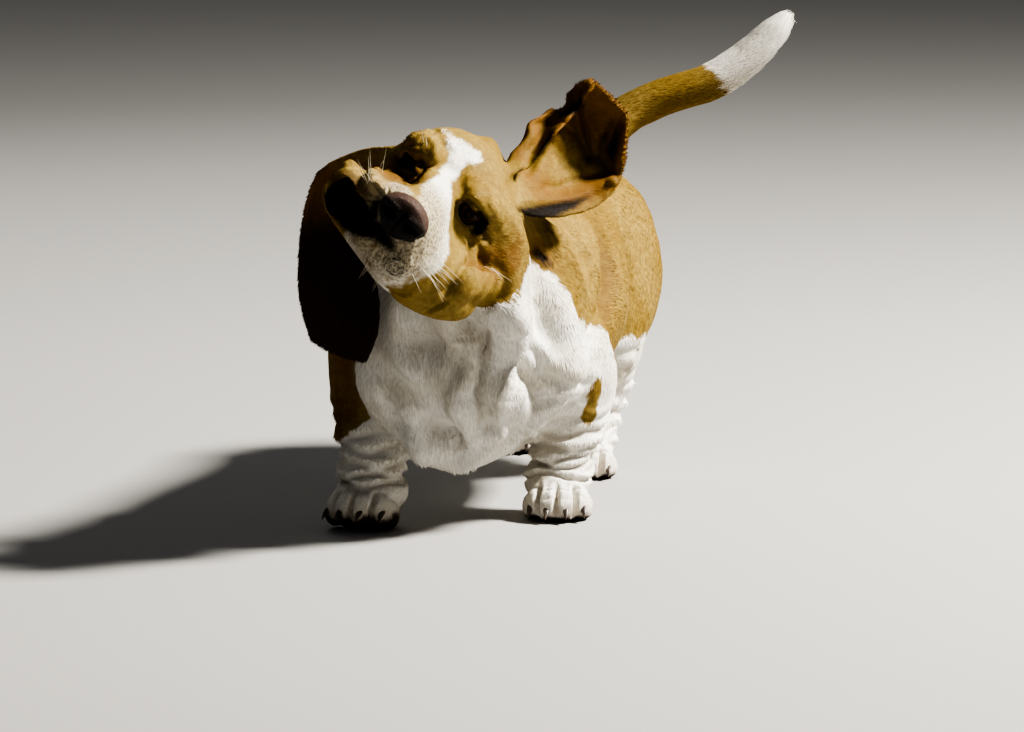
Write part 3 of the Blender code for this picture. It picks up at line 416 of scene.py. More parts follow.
# The left ear is thin, so both its faces move together, towards the camera or away from it
earFolds = {
    "strip": ([(7.4, -11.5, 39.6), (8.1, -6.7, 41.5), (9.6, -5.6, 43.4)], 0.7, 0.8),
    "stripValley": ([(9.6, -11.3, 39.0), (10.1, -9.2, 40.7), (10.3, -7.0, 42.2), (10.6, -5.3, 43.2)], -1.7, 0.6),
    "blackValley": ([(12.9, -3.5, 46.6), (13.0, -3.5, 44.6), (12.3, 0.4, 42.4), (12.7, 0.8, 40.9), (13.2, 0.9, 39.4)], -1.5, 0.75),
    "blackLeft": ([(11.0, -4.6, 43.9), (12.0, -4.3, 44.5), (12.7, -3.7, 45.5)], -0.7, 0.7),
    "crack": ([(10.5, -5.8, 43.0), (11.5, -3.8, 43.1), (11.7, -0.3, 41.8)], -0.3, 0.3),
    "middle": ([(10.6, -2.0, 41.4), (11.4, -0.6, 40.4), (12.2, 0.4, 39.6)], 0.5, 0.9),
    "panel": ([(13.3, -0.6, 45.7), (14.9, 0.1, 45.1), (16.6, 0.4, 44.3)], 0.5, 0.6),
    "panelMiddle": ([(14.9, 1.1, 43.4), (14.1, 1.5, 41.5)], 0.5, 0.8),
    "farHollow": ([(16.2, 1.1, 42.6), (15.4, 1.3, 40.8), (14.8, 0.9, 39.4), (15.6, 0.2, 38.0)], -1.5, 0.8),
    "rim": ([(17.3, 0.6, 43.4), (17.2, 0.7, 41.9), (16.9, 0.9, 40.4), (16.6, 0.5, 38.7), (15.9, -0.3, 36.9)], 0.4, 0.4),
    "lowerRim": ([(8.6, -12.8, 35.9), (10.1, -8.0, 35.4), (12.4, -3.9, 35.2), (14.0, -1.5, 35.9), (15.7, -0.3, 36.8)], 0.5, 0.6),
    "lowerValley": ([(10.4, -6.4, 36.6), (11.4, -5.0, 36.4), (12.8, -1.8, 37.1), (14.7, -0.5, 37.5)], -0.45, 0.5),
    "knob": ([(13.7, -3.4, 47.2), (14.4, -2.4, 47.0)], 0.5, 0.8),
}
# Small pulls of the outline: a place, how far the pull reaches, and how far it goes right, up and nearer as the
# camera sees it, all in centimetres
pulls = {
    "tailMiddle": ((9.0, 53.5, 40.0), 7.0, (-0.1, 0.55, 0.0)),
    "tailEnd": ((19.5, 57.3, 45.5), 5.0, (-0.45, 0.35, 0.0)),
    "earStrip": ((8.3, -9.0, 40.2), 1.8, (-0.95, -0.1, 0.0)),
    "earStripTop": ((9.3, -6.0, 43.3), 1.3, (-0.9, 0.3, 0.0)),
    "bridgeSide": (tuple(toBody(fromHead(5.0, -3.9, 0.2))), 1.5, (0.3, -1.0, -0.5)),
    "bridgeSideBack": (tuple(toBody(fromHead(2.4, -4.4, -0.3))), 1.3, (0.2, -0.9, -0.4)),
    "earCorner": ((-15.4, -13.0, 39.6), 2.4, (-0.9, 0.9, 0.0)),
    "leftPaw": ((-4.2, -9.0, 7.4), 2.0, (0.4, 0.0, 0.0)),
}


def folded(places, folds):
    # how far the skin is pushed in at each place, in centimetres
    push = np.zeros(len(places))
    for line, depth, width, swell in folds.values():
        line = np.array(line)
        reach = 4 * width
        near = np.all((places > line.min(0) - reach) & (places < line.max(0) + reach), axis=1)
        distance, along = nearLine(places[near], line)
        fade = np.sqrt(np.clip(np.sin(np.pi * np.clip(along, 0.06, 0.94)), 0, 1))
        push[near] += fade * (depth * bump(distance, width) - swell * bump(distance - 2.1 * width, 1.1 * width))
    return push


def bent(places, folds):
    flat = places @ cameraAxes[:2].T
    push = np.zeros(len(places))
    for line, depth, width in folds.values():
        distance, along = nearLine(flat, np.array(line) @ cameraAxes[:2].T)
        push += depth * bump(distance, width)
    return push


def legRings(places, labels, facing):
    push = np.zeros(len(places))
    for limb, rings in legCreases.items():
        here = np.char.startswith(labels.astype(str), limb)
        x, y, z = places[here].T
        total = np.zeros(len(x))
        for i, (height, slant, depth, width) in enumerate(rings):
            wave = 0.35 * np.sin(x * 0.9 + i * 2.1) + 0.25 * np.sin(y * 1.1 + i * 1.3)
            distance = z - height - slant * (y % 17 - 8) * 0.6 - wave
            total += depth * bump(distance, width) - 0.6 * depth * bump(distance - 2.0 * width, 1.2 * width)
        push[here] = total * (0.3 + 0.7 * step(-facing[here, 1], -0.7, 0.3))  # fading out behind
    return push


eyeSpots = {"left": np.array(nodeMiddle("eye_left")), "right": np.array(nodeMiddle("eye_right"))}
eyeRadius = (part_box("eye_left")[1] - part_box("eye_left")[0]).z / 2
bodyPlaces = toBody(points)
onEar = eased(np.where(labels == "ear_left", 1.0, 0.0), skinEdges, 20)
onHead = eased(np.where(np.isin(labels, ("head", "jaw")), 1.0, 0.0), skinEdges, 6)
push = folded(toHead(points), headFolds) * onHead + folded(bodyPlaces, bodyFolds) * (1 - onHead) * (1 - onEar)
push += legRings(bodyPlaces, labels, meshNormals(skinMesh))
onPaw = eased(np.where(np.char.find(labels.astype(str), "paw") >= 0, 1.0, 0.0), skinEdges, 10)
push += folded(bodyPlaces, pawFolds()) * onPaw
for spot in eyeSpots.values():
    push *= step(np.linalg.norm(points - spot, axis=1), eyeRadius + 0.001, eyeRadius + 0.006)
points = points - meshNormals(skinMesh) * (push * 0.01)[:, None]
points += (bent(bodyPlaces, earFolds) * onEar)[:, None] * cameraAxes[2] * 0.01
for spot, reach, by in pulls.values():
    near = bump(np.linalg.norm(bodyPlaces - spot, axis=1), reach)
    points += near[:, None] * (np.array(by) @ cameraAxes) * 0.01
# the skin runs smoothly from the head onto each ear
for root, reach in (((7.6, -12.4, 37.6), 3.4), ((-3.4, -12.6, 40.6), 2.6)):
    points = easedNear(points, skinEdges, bump(np.linalg.norm(bodyPlaces - root, axis=1), reach), 60)
setPoints(skinMesh, points)
keep = skinObject.vertex_groups.new(name="keep")
detail = np.clip(onHead * step(toHead(points)[:, 0], -4.0, -1.0), 0, 1)
for level in (0.25, 0.5, 0.75, 1.0):
    chosen = np.flatnonzero(np.abs(detail - level) <= 0.125)
    keep.add(chosen.tolist(), level, "REPLACE")
fewer = skinObject.modifiers.new("fewer", "DECIMATE")
fewer.ratio = skin["triangles"] / (2 * len(skinMesh.polygons))
fewer.vertex_group = "keep"
fewer.invert_vertex_group = True
fewer.vertex_group_factor = skin["detail"]
plainMesh(skinObject)
skinMesh = skinObject.data
skinMesh.name = "skin"
points = meshPoints(skinMesh)
normals = meshNormals(skinMesh)
skinEdges = meshEdges(skinMesh)
labels = ownersOf(points, fleshTree, fleshOwners)
headPlaces = toHead(points)
bodyPlaces = toBody(points)
print("skin folded", len(skinMesh.polygons))


# The lie of the coat: which way the hairs lie at each place of the skin
def layOf():
    lay = np.tile((0.0, 1.0, -0.35), (len(points), 1))
    front = step(-normals[:, 1], 0.1, 0.7)[:, None]
    lay = lay * (1 - front) + np.array((0, 0.1, -1.0)) * front
    roots = {"ear_left": fromBody(7.0, -12.6, 37.0), "ear_right": fromBody(-2.9, -13.0, 40.4)}
    for name, root in roots.items():
        lay[labels == name] = unit(points[labels == name] - root)
    for limb in limbs:
        here = labels == limb
        lay[here] = (0, -0.7, -0.6) if "paw" in limb else (0, 0.12, -1.0)
    lay[labels == "neck"] = (0.05, 0.7, -0.7)
    here = np.isin(labels, ("head", "jaw"))
    nose = fromHead(12.5, 0.0, 0.4)
    lay[here] = unit(points[here] - nose)
    here = labels == "tail"
    line = [fromBody(*place) for place in tail["line"]]
    along = nearLine(points[here], line)[1]
    towards = np.array([unit(b - a) for a, b in zip(line, line[1:])])
    lay[here] = towards[np.clip((along * len(towards)).astype(int), 0, len(towards) - 1)] + (0, 0, -0.25)
    lay = eased(lay, skinEdges, 25)
    lay -= normals * np.sum(lay * normals, axis=1)[:, None]
    return unit(lay)


tail = {"line": [(0.0, 45.5, 31.5), (2.2, 49.4, 35.0), (5.8, 52.4, 38.4), (10.4, 54.2, 40.6), (15.2, 55.8, 42.4), (19.4, 57.2, 45.0), (22.2, 58.2, 48.2), (23.8, 58.8, 50.5)]}
lay = layOf()


# Markings and painted shade, as strokes along lines of places, each with how wide it is there. A value above zero is
# inside, in cm
def strokes(places, rows):
    inside = np.full(len(places), -6.0)
    for line, widths in rows:
        line = np.array(line, float)
        widths = np.array(widths, float)
        if len(line) == 1:
            line = np.vstack([line, line + 0.01])
            widths = np.repeat(widths, 2)
        distance, along = nearLine(places, line)
        lengths = np.concatenate([[0], np.cumsum(np.linalg.norm(np.diff(line, axis=0), axis=1))])
        inside = np.maximum(inside, np.interp(along, lengths / lengths[-1], widths) - distance)
    return np.clip(inside, -6, 6)


headMarks = {
    # dark: painted shade under the left eye's brow and in the hollow of the right eye
    "dark": [
        ([(2.3, 2.4, 0.7), (1.5, 3.3, 0.9), (0.9, 4.3, 0.6), (0.3, 5.3, 0.2), (-1.0, 6.5, -1.1)], (0.35, 0.95, 1.3, 1.1, 0.55)),
        ([(0.6, -5.6, -0.6), (0.9, -4.6, -0.4), (1.6, -3.8, -0.1), (2.9, -3.1, 0.4)], (0.3, 0.6, 0.7, 0.4)),
    ],
    "white": [
        ([(-6.2, -5.2, 1.6), (-4.4, -3.5, 3.3), (-2.7, -1.7, 3.6)], (0.5, 0.5, 0.9)),
        ([(-2.7, -1.7, 3.5), (-2.6, -0.6, 3.6), (-3.0, 0.0, 3.8)], (1.0, 1.3, 1.1)),
        ([(-2.2, -1.1, 3.4), (-0.6, -0.5, 2.4), (2.4, -0.1, 1.7), (5.4, 0.6, 1.2)], (1.3, 0.9, 0.9, 1.9)),
        ([(5.0, 0.8, 1.2), (6.6, 1.6, -0.4), (8.2, 2.4, -2.6), (9.2, 1.9, -5.0)], (1.9, 3.5, 3.7, 3.0)),
        ([(9.0, -1.6, -1.0), (9.0, -1.8, -4.0), (9.0, -1.4, -6.2)], (2.2, 3.0, 2.4)),
        ([(4.0, 0.4, -9.0), (8.0, 0.8, -8.6)], (3.0, 3.2)),
    ],
    # brown: darker brown on the left cheek and behind the right eye; painted shade round the right eye and along the
    # right side of the bridge
    "brown": [
        ([(1.6, 8.2, -3.6), (-0.9, 8.6, -3.2), (-2.6, 9.4, -2.0), (-4.4, 10.2, -1.2)], (1.0, 1.7, 1.7, 1.4)),
        ([(0.4, -5.6, 0.4), (1.0, -4.6, 0.6), (2.4, -5.4, -1.6)], (1.1, 0.9, 1.3)),
        ([(-2.0, -6.6, 1.6), (-3.6, -7.2, 0.4)], (1.2, 1.4)),
        ([(2.0, -4.9, -0.9), (4.0, -4.0, 0.1), (5.6, -4.3, -0.1), (7.0, -4.0, -0.2)], (1.8, 1.6, 1.5, 0.9)),
        ([(1.8, -3.2, 0.2), (3.4, -2.9, 0.9), (5.2, -2.9, 0.8)], (0.9, 0.9, 0.8)),
    ],
}
bodyMarks = {
    # dark: painted shade in the hollows of the left ear, in the gap under it and in a pit on the neck
    "dark": [
        ([(9.3, -12.0, 38.8), (9.9, -10.3, 40.0), (10.4, -8.0, 41.7), (10.7, -5.8, 43.1)], (0.6, 0.95, 0.8, 0.35)),
        ([(11.3, -4.5, 43.9), (12.3, -4.0, 44.5), (12.9, -3.5, 45.9), (13.0, -3.4, 46.7)], (0.3, 0.7, 0.9, 0.3)),
        ([(13.0, -3.5, 44.7), (12.9, -1.5, 43.5), (12.4, 0.4, 42.2), (12.8, 0.8, 40.9), (13.2, 0.9, 39.6)], (0.9, 0.7, 0.45, 0.5, 0.2)),
        ([(15.8, 1.3, 41.9), (15.3, 1.3, 40.6), (14.4, 1.0, 39.8)], (0.4, 1.2, 0.7)),
        ([(15.3, 1.3, 40.6), (15.5, 0.4, 38.2)], (1.1, 0.6)),
        ([(8.5, -14.9, 35.1), (9.6, -10.3, 34.3), (11.0, -7.4, 34.2), (12.4, -4.5, 34.5), (14.1, -1.6, 35.2), (15.8, -0.2, 36.1)], (0.5, 0.7, 0.8, 0.6, 0.25, 0.1)),
        ([(9.2, -5.4, 29.6), (9.9, -4.8, 28.9)], (0.6, 0.5)),
    ],
    # brown: painted shade over the right shoulder's tan, in a pit on the neck and in the valley behind the shoulder
    "brown": [
        ([(-12.5, -6.0, 19.0), (-12.8, -6.6, 14.0), (-13.0, -5.0, 11.0)], (3.4, 3.0, 2.2)),
        ([(9.0, -5.2, 29.6), (9.8, -4.4, 29.2)], (1.3, 1.1)),
        ([(8.4, 22.0, 31.6), (10.4, 20.5, 29.0), (11.8, 17.5, 26.0), (12.8, 13.0, 23.2), (13.4, 9.0, 21.0)], (0.2, 0.9, 1.6, 2.0, 1.4)),
    ],
    "earBrown": [
        ([(7.2, -11.5, 39.4), (8.1, -6.7, 41.5), (9.4, -5.6, 43.6)], (0.9, 1.2, 1.2)),
        ([(7.4, -10.4, 37.9), (9.1, -7.5, 37.6), (10.6, -5.2, 36.9)], (0.9, 1.5, 0.9)),
        ([(9.8, -8.2, 35.4), (12.4, -3.9, 35.4), (14.6, -1.2, 36.4), (16.2, 0.0, 37.6)], (0.9, 1.5, 1.5, 1.3)),
    ],
    "white": [
        ([(7.0, -16.0, 30.0), (7.6, -11.0, 28.0), (8.4, -9.0, 24.0)], (3.6, 4.6, 5.4)),
        ([(4.0, -13.0, 24.0), (2.0, -10.0, 16.0), (1.0, -4.0, 9.0), (0.0, 12.0, 7.0), (0.0, 28.0, 10.0)], (8.0, 10.5, 9.5, 9.0, 8.0)),
        ([(10.6, -7.4, 24.0), (11.4, -5.0, 19.0), (13.0, 2.0, 16.8)], (3.4, 4.0, 4.2)),
        ([(-6.0, -10.0, 22.0), (-5.0, -8.0, 14.0)], (6.0, 6.0)),
        ([(12.6, 58.0, 42.0), (19.4, 58.0, 45.0), (24.0, 59.0, 51.0)], (2.0, 6.0, 6.0)),
    ],
    "tan": [
        ([(13.6, 2.0, 14.6), (12.9, 3.2, 11.4)], (1.5, 1.1)),
        ([(-12.0, -5.6, 18.5), (-12.6, -6.4, 14.0), (-13.6, -4.6, 11.4)], (5.4, 4.8, 3.4)),
    ],
}
legWhite = {"fore": 16.2, "hind": 18.6, "hindLeft": 16.0}


def markings():
    white = np.full(len(points), -6.0)
    onHead = np.isin(labels, ("head", "jaw"))
    onEar = np.isin(labels, ("ear_left", "ear_right"))
    white[onHead] = strokes(headPlaces[onHead], headMarks["white"])
    white[labels == "jaw"] = np.clip(headPlaces[labels == "jaw", 0] - 7.5, -4, 4)
    rest = ~onHead & ~onEar
    x, y, z = bodyPlaces[rest].T
    body = strokes(bodyPlaces[rest], bodyMarks["white"])
    body = np.maximum(body, 10.6 + 0.12 * (y - 12) - z)  # the belly and all below it
    fore = np.isin(labels[rest], [name for name in limbs if name.startswith("fore")])
    hind = np.isin(labels[rest], [name for name in limbs if name.startswith("hind")])
    body[fore] = np.maximum(body[fore], legWhite["fore"] - z[fore])
    body[hind] = np.maximum(body[hind], (np.where(x > 0, legWhite["hindLeft"], legWhite["hind"]) - z)[hind])
    tan = strokes(bodyPlaces[rest], bodyMarks["tan"])
    white[rest] = np.where(tan > -0.6, np.minimum(body, -tan), body)
    brown = np.full(len(points), -6.0)
    brown[onHead] = np.minimum(strokes(headPlaces[onHead], headMarks["brown"]), 0.5)
    # painted shade and light: the right ear's brown deepens to near black towards its lower end and turns tan at its
    # top
    right = labels == "ear_right"
    brown[right] = np.interp(bodyPlaces[right, 2], (29.0, 35.0, 38.4, 39.8), (5.0, 2.6, 1.6, -0.4))
    left = labels == "ear_left"
    x, y, z = bodyPlaces[left].T
    brown[left] = np.clip((z - 40.4) * 0.5 + (x - 12) * 0.25, -6, 1.2)
    brown[left] = np.maximum(brown[left], strokes(bodyPlaces[left], bodyMarks["earBrown"]))
    brown[rest] = strokes(bodyPlaces[rest], bodyMarks["brown"]) * 0.7
    return white, brown


white, brown = markings()
white = eased(white, skinEdges, 2)
brown = eased(brown, skinEdges, 6)
noseSpot = np.array([11.2, 0.0, -0.5])
muzzleDistance = np.linalg.norm(headPlaces - noseSpot, axis=1)
onHead = np.isin(labels, ("head", "jaw"))
ticks = step(-muzzleDistance, -9.0, -4.5) * onHead
eyeGap = np.minimum(*[np.linalg.norm(points - spot, axis=1) for spot in eyeSpots.values()]) * 100
# a dark rim round each eye: the lids' own dark skin, with painted shade in the sockets
dark = onHead * step(-eyeGap, -1.75, -1.35)
# the inside of the flung-up lip: its own dark skin, with painted shade in its hollow
cupDistance = np.linalg.norm((headPlaces - (8.2, -6.3, -4.6)) / (2.6, 1.75, 2.3), axis=1)
dark = np.maximum(dark, onHead * step(-cupDistance, -1.06, -0.94))
# painted shade along the mouth from the lip's hollow to under the nose, and beside the nose
mouthShade = strokes(headPlaces, [
    ([(7.6, -4.8, -4.9), (8.6, -4.4, -4.9), (9.8, -3.9, -4.5), (10.9, -2.2, -3.9), (11.2, -1.0, -3.6), (11.2, 0.8, -3.8)], (2.0, 1.9, 1.7, 1.3, 1.0, 0.6)),
    ([(10.3, -3.1, -1.7), (10.8, -2.6, -3.0)], (0.5, 0.9)),
])
dark = np.maximum(dark, onHead * step(mouthShade, -0.5, 0.4))
# painted shade in the eye hollows, from the head's dark strokes
dark[onHead] = np.maximum(dark[onHead], step(strokes(headPlaces[onHead], headMarks["dark"]), -0.25, 0.25))
# painted shade low on the right of the muzzle
shade = 0.8 * onHead * bump(np.linalg.norm((headPlaces - (10.4, -2.4, -6.0)) / (2.5, 2.8, 2.0), axis=1), 1.0)
# the rolled rim of the flung-up lip: greyish brown, partly its own colour and partly painted shade
lipRoll = strokes(headPlaces, [([(9.7, -4.0, -2.6), (9.2, -5.4, -2.2), (8.8, -7.0, -2.2), (8.7, -8.2, -3.0), (7.4, -9.0, -4.6), (8.2, -8.0, -6.2), (9.0, -5.6, -6.8)], (0.6, 0.7, 0.8, 0.9, 1.0, 0.9, 0.6))])
shade = np.maximum(shade, 0.85 * onHead * step(lipRoll, -0.5, 0.5))
# painted shade along the chin
chinShade = strokes(headPlaces, [([(10.4, -2.8, -7.0), (10.6, 0.4, -8.2), (10.6, 2.8, -8.8)], (1.7, 1.5, 0.9))])
shade = np.maximum(shade, 0.6 * onHead * step(chinShade, -0.9, 0.7))
# painted shade in the ear's hollows, under the ear and in the neck's pit
dark[~onHead] = np.maximum(dark[~onHead], step(strokes(bodyPlaces[~onHead], bodyMarks["dark"]), -0.35, 0.35))
onPaw = np.char.find(labels.astype(str), "paw") >= 0
dark = np.maximum(dark, onPaw * step(-bodyPlaces[:, 2], -1.2, -0.5) * step(-normals[:, 2], 0.3, 0.7))
# the right fore paw's toes are darker at the front, up to a ragged edge
onRight = labels == "fore_paw_right"
ragged = 1.7 + 0.35 * np.sin(bodyPlaces[:, 0] * 2.3) + 0.2 * np.sin(bodyPlaces[:, 0] * 7.1)
dark = np.maximum(dark, 0.96 * onRight * step(ragged - bodyPlaces[:, 2], -0.3, 0.3) * step(-bodyPlaces[:, 1], 8.0, 10.0))
# painted shade: the coat is darker down in the folds and in the creases round the legs
foldShade = np.where(onHead, 1.1 * np.clip(folded(headPlaces, headFolds), 0, 0.5), 0.5 * np.clip(folded(bodyPlaces, bodyFolds), 0, 1.6))
shade = np.maximum(shade, foldShade * ~np.char.startswith(labels.astype(str), "ear"))
shade = np.maximum(shade, 0.9 * np.clip(legRings(bodyPlaces, labels, normals), 0, 0.5))
stain = onPaw * step(-bodyPlaces[:, 2], -3.6, -1.0) * np.where(onRight, 0.75, 0.35)
# painted shade in the clefts between the toes, carried with the paws' stains
clefts = np.zeros(len(points))
clefts[onPaw] = np.clip(folded(bodyPlaces[onPaw], pawFolds()), 0, 0.7)
stain = np.maximum(stain, clefts)
bare = onHead * np.maximum(bump(np.linalg.norm((headPlaces - (9.3, -4.2, -1.3)) / (1.8, 2.4, 1.6), axis=1), 1.0), 0.7 * step(-eyeGap, -2.0, -1.5))
print("skin marked")


def setAttribute(mesh, name, values):
    kind = "FLOAT_VECTOR" if values.ndim == 2 else "FLOAT"
    attribute = mesh.attributes.new(name, kind, "POINT")
    attribute.data.foreach_set("vector" if values.ndim == 2 else "value", values.astype(np.float32).ravel())


# The coat's tufts on each part: length, width and height in millimetres, and how many to a square centimetre
coat = {
    "seed": 11,
    "fullest": 31500,
    "kinds": {
        "face": (3.0, 0.6, 0.24, 84),
        "head": (5.2, 1.1, 0.27, 46),
        "neck": (8.4, 1.5, 0.32, 30),
        "torso": (9.0, 1.6, 0.3, 27),
        "ear": (4.8, 1.05, 0.26, 42),
        "leg": (5.0, 1.15, 0.27, 40),
        "paw": (3.0, 0.8, 0.24, 60),
        "tail": (10.0, 1.3, 0.55, 40),
    },
    "pieces": {
        "coatFace": lambda: np.isin(labels, ("head", "jaw")) & (headPlaces[:, 0] > -1.5),
        "coatHead": lambda: (labels == "neck") | (np.isin(labels, ("head", "jaw")) & (headPlaces[:, 0] <= -1.5)),
        "coatEarLeft": lambda: labels == "ear_left",
        "coatEarRight": lambda: labels == "ear_right",
        "coatChest": lambda: (labels == "torso") & (bodyPlaces[:, 1] < 14),
        "coatBack": lambda: (labels == "torso") & (bodyPlaces[:, 1] >= 14),
        "coatForelegs": lambda: np.char.startswith(labels.astype(str), "fore"),
        "coatHindlegs": lambda: np.char.startswith(labels.astype(str), "hind"),
        "coatTail": lambda: labels == "tail",
    },
}


def kindOf():
    kinds = np.full(len(points), "torso", dtype="U8")
    for name in ("neck", "tail"):
        kinds[labels == name] = name
    kinds[np.isin(labels, ("ear_left", "ear_right"))] = "ear"
    for part in ("leg", "paw"):
        kinds[np.char.find(labels.astype(str), part) >= 0] = part
    kinds[onHead] = "head"
    kinds[onHead & (headPlaces[:, 0] > 0.5)] = "face"
    return kinds


kinds = kindOf()
sizes = np.array([coat["kinds"][name] for name in kinds])
sizes = eased(sizes, skinEdges, 16)
belly = step(-normals[:, 2], 0.35, 0.8) * (labels == "torso")
breech = (labels == "torso") * step(bodyPlaces[:, 1], 44, 50) * 0.5
brush = (labels == "tail") * step(-normals[:, 2], 0.1, 0.8)
sizes[:, 0] *= 1 + 0.25 * belly + breech + 0.7 * brush
sizes[:, 2] *= 1 + 0.7 * belly + breech + 0.9 * brush
hidden = np.maximum(onHead * step(-eyeGap, -1.9, -1.5), onHead * step(-cupDistance, -1.0, -0.9))
hidden = np.maximum(hidden, onHead * step(mouthShade, 0.2, 0.7))
hidden = np.maximum(hidden, step(-muzzleDistance, -2.9, -2.4) * onHead)
hidden = np.maximum(hidden, onPaw * step(-bodyPlaces[:, 2], -0.6, -0.3))
sizes[:, 3] *= 1 - hidden
for name, values in {
    "white": white,
    "brown": brown,
    "shade": shade,
    "stain": stain,
    "ticks": ticks,
    "dark": dark,
    "bare": bare,
    "lay": lay,
    "tuftLength": sizes[:, 0] * 0.001,
    "tuftWidth": sizes[:, 1] * 0.001,
    "tuftHeight": sizes[:, 2] * 0.001,
    "tuftCount": sizes[:, 3] * 10000,
}.items():
    setAttribute(skinMesh, name, values)
print("coat laid out")

# The coat of one piece, grown over its share of the skin
uvMargin = {"island": 0.003, "angle": 1.15}


def tuftMesh():
    # a lock lying along x: a root in the skin, a ridged middle and a tip
    places = [(0, 0, -0.2), (0.3, -0.5, 0.1), (0.36, 0.5, 0.1), (0.34, 0.05, 0.85), (1.0, 0.0, 0.6)]
    faces = [(0, 2, 1), (0, 3, 2), (0, 1, 3), (4, 1, 2), (4, 2, 3), (4, 3, 1)]
    mesh = bpy.data.meshes.new("tuft")
    mesh.from_pydata(places, [], faces)
    patch = mesh.attributes.new("patch", "FLOAT2", "POINT")
    patch.data.foreach_set("vector", [n for x, y, z in places for n in ((x - 0.5) * 0.003, (y + z - 0.4) * 0.0018)])
    along = mesh.attributes.new("along", "FLOAT", "POINT")
    along.data.foreach_set("value", [max(x, 0) for x, y, z in places])
    for polygon in mesh.polygons:
        polygon.use_smooth = True
    for edge in mesh.edges:
        edge.use_edge_sharp = 3 not in edge.vertices  # the rim, so that the upper side is shaded by itself
    return newObject("tuft", mesh)


def coatTree():
    tree = bpy.data.node_groups.new("coat", "GeometryNodeTree")
    face = tree.interface
    face.new_socket("Geometry", in_out="INPUT", socket_type="NodeSocketGeometry")
    for name, kind, value in (
        ("tuft", "NodeSocketObject", None),
        ("finish", "NodeSocketMaterial", None),
        ("seed", "NodeSocketInt", 0),
        ("fullness", "NodeSocketFloat", 1.0),
        ("stray", "NodeSocketFloat", 0.2),
        ("lift", "NodeSocketFloat", 0.05),
    ):
        socket = face.new_socket(name, in_out="INPUT", socket_type=kind)
        if value is not None:
            socket.default_value = value
    face.new_socket("Geometry", in_out="OUTPUT", socket_type="NodeSocketGeometry")
    start = tree.nodes.new("NodeGroupInput")
    end = tree.nodes.new("NodeGroupOutput")

    def node(kind, settings=None, values=None, out=0):
        made = tree.nodes.new(kind)
        for name, value in (settings or {}).items():
            setattr(made, name, value)
        for name, value in (values or {}).items():
            if isinstance(value, bpy.types.NodeSocket):
                tree.links.new(value, made.inputs[name])
            else:
                made.inputs[name].default_value = value
        return made.outputs[out]

    def named(kind, name):
        return node("GeometryNodeInputNamedAttribute", {"data_type": kind}, {"Name": name})

    def vector(operation, a, b):
        return node("ShaderNodeVectorMath", {"operation": operation}, {0: a, 1: b})

    def scaled(a, factor):
        return node("ShaderNodeVectorMath", {"operation": "SCALE"}, {0: a, "Scale": factor})

    def stray(low, high, offset):
        seeds = node("ShaderNodeMath", {"operation": "ADD"}, {0: start.outputs["seed"], 1: offset})
        return node("FunctionNodeRandomValue", {"data_type": "FLOAT_VECTOR"}, {"Min": low, "Max": high, "Seed": seeds})

    many = node("ShaderNodeMath", {"operation": "MULTIPLY"}, {0: named("FLOAT", "tuftCount"), 1: start.outputs["fullness"]})
    spread = tree.nodes.new("GeometryNodeDistributePointsOnFaces")
    tree.links.new(start.outputs["Geometry"], spread.inputs["Mesh"])
    tree.links.new(many, spread.inputs["Density"])
    tree.links.new(start.outputs["seed"], spread.inputs["Seed"])
    normal = spread.outputs["Normal"]
    away = scaled(stray((-1, -1, -1), (1, 1, 1), 7), start.outputs["stray"])
    along = vector("ADD", named("FLOAT_VECTOR", "lay"), away)
    upright = vector("SUBTRACT", normal, scaled(along, start.outputs["lift"]))
    turn = node("FunctionNodeAxesToRotation", {"primary_axis": "Z", "secondary_axis": "X"}, {"Primary Axis": upright, "Secondary Axis": along})
    size = node("ShaderNodeCombineXYZ", {}, {
        "X": named("FLOAT", "tuftLength"), "Y": named("FLOAT", "tuftWidth"), "Z": named("FLOAT", "tuftHeight")})
    size = vector("MULTIPLY", size, stray((0.7, 0.75, 0.6), (1.3, 1.25, 1.4), 19))
    locks = node("GeometryNodeObjectInfo", {}, {"Object": start.outputs["tuft"]}, out="Geometry")
    placed = node("GeometryNodeInstanceOnPoints", {}, {
        "Points": spread.outputs["Points"], "Instance": locks, "Rotation": turn, "Scale": size})
    tone = node("FunctionNodeRandomValue", {"data_type": "FLOAT"}, {"Min": 0.0, "Max": 1.0, "Seed": 3}, out=1)
    placed = node("GeometryNodeStoreNamedAttribute", {"data_type": "FLOAT", "domain": "INSTANCE"}, {
        "Geometry": placed, "Name": "tone", "Value": tone})
    whole = node("GeometryNodeRealizeInstances", {}, {"Geometry": placed})
    place = vector("ADD", named("FLOAT_VECTOR", "rootPlace"), named("FLOAT_VECTOR", "patch"))
    whole = node("GeometryNodeStoreNamedAttribute", {"data_type": "FLOAT2", "domain": "CORNER"}, {
        "Geometry": whole, "Name": "OFBake", "Value": place})
    whole = node("GeometryNodeSetMaterial", {}, {"Geometry": whole, "Material": start.outputs["finish"]})
    tree.links.new(whole, end.inputs["Geometry"])
    return tree


def setInputs(modifier, values):
    names = {item.name: item.identifier for item in modifier.node_group.interface.items_tree if item.item_type == "SOCKET" and item.in_out == "INPUT"}
    for name, value in values.items():
        modifier[names[name]] = value


def unwrapped(obj):
    bpy.context.view_layer.objects.active = obj
    obj.select_set(True)
    bpy.ops.object.mode_set(mode="EDIT")
    bpy.ops.mesh.select_all(action="SELECT")
    bpy.ops.uv.smart_project(angle_limit=uvMargin["angle"], island_margin=uvMargin["island"], scale_to_bounds=True)
    bpy.ops.object.mode_set(mode="OBJECT")
    obj.select_set(False)


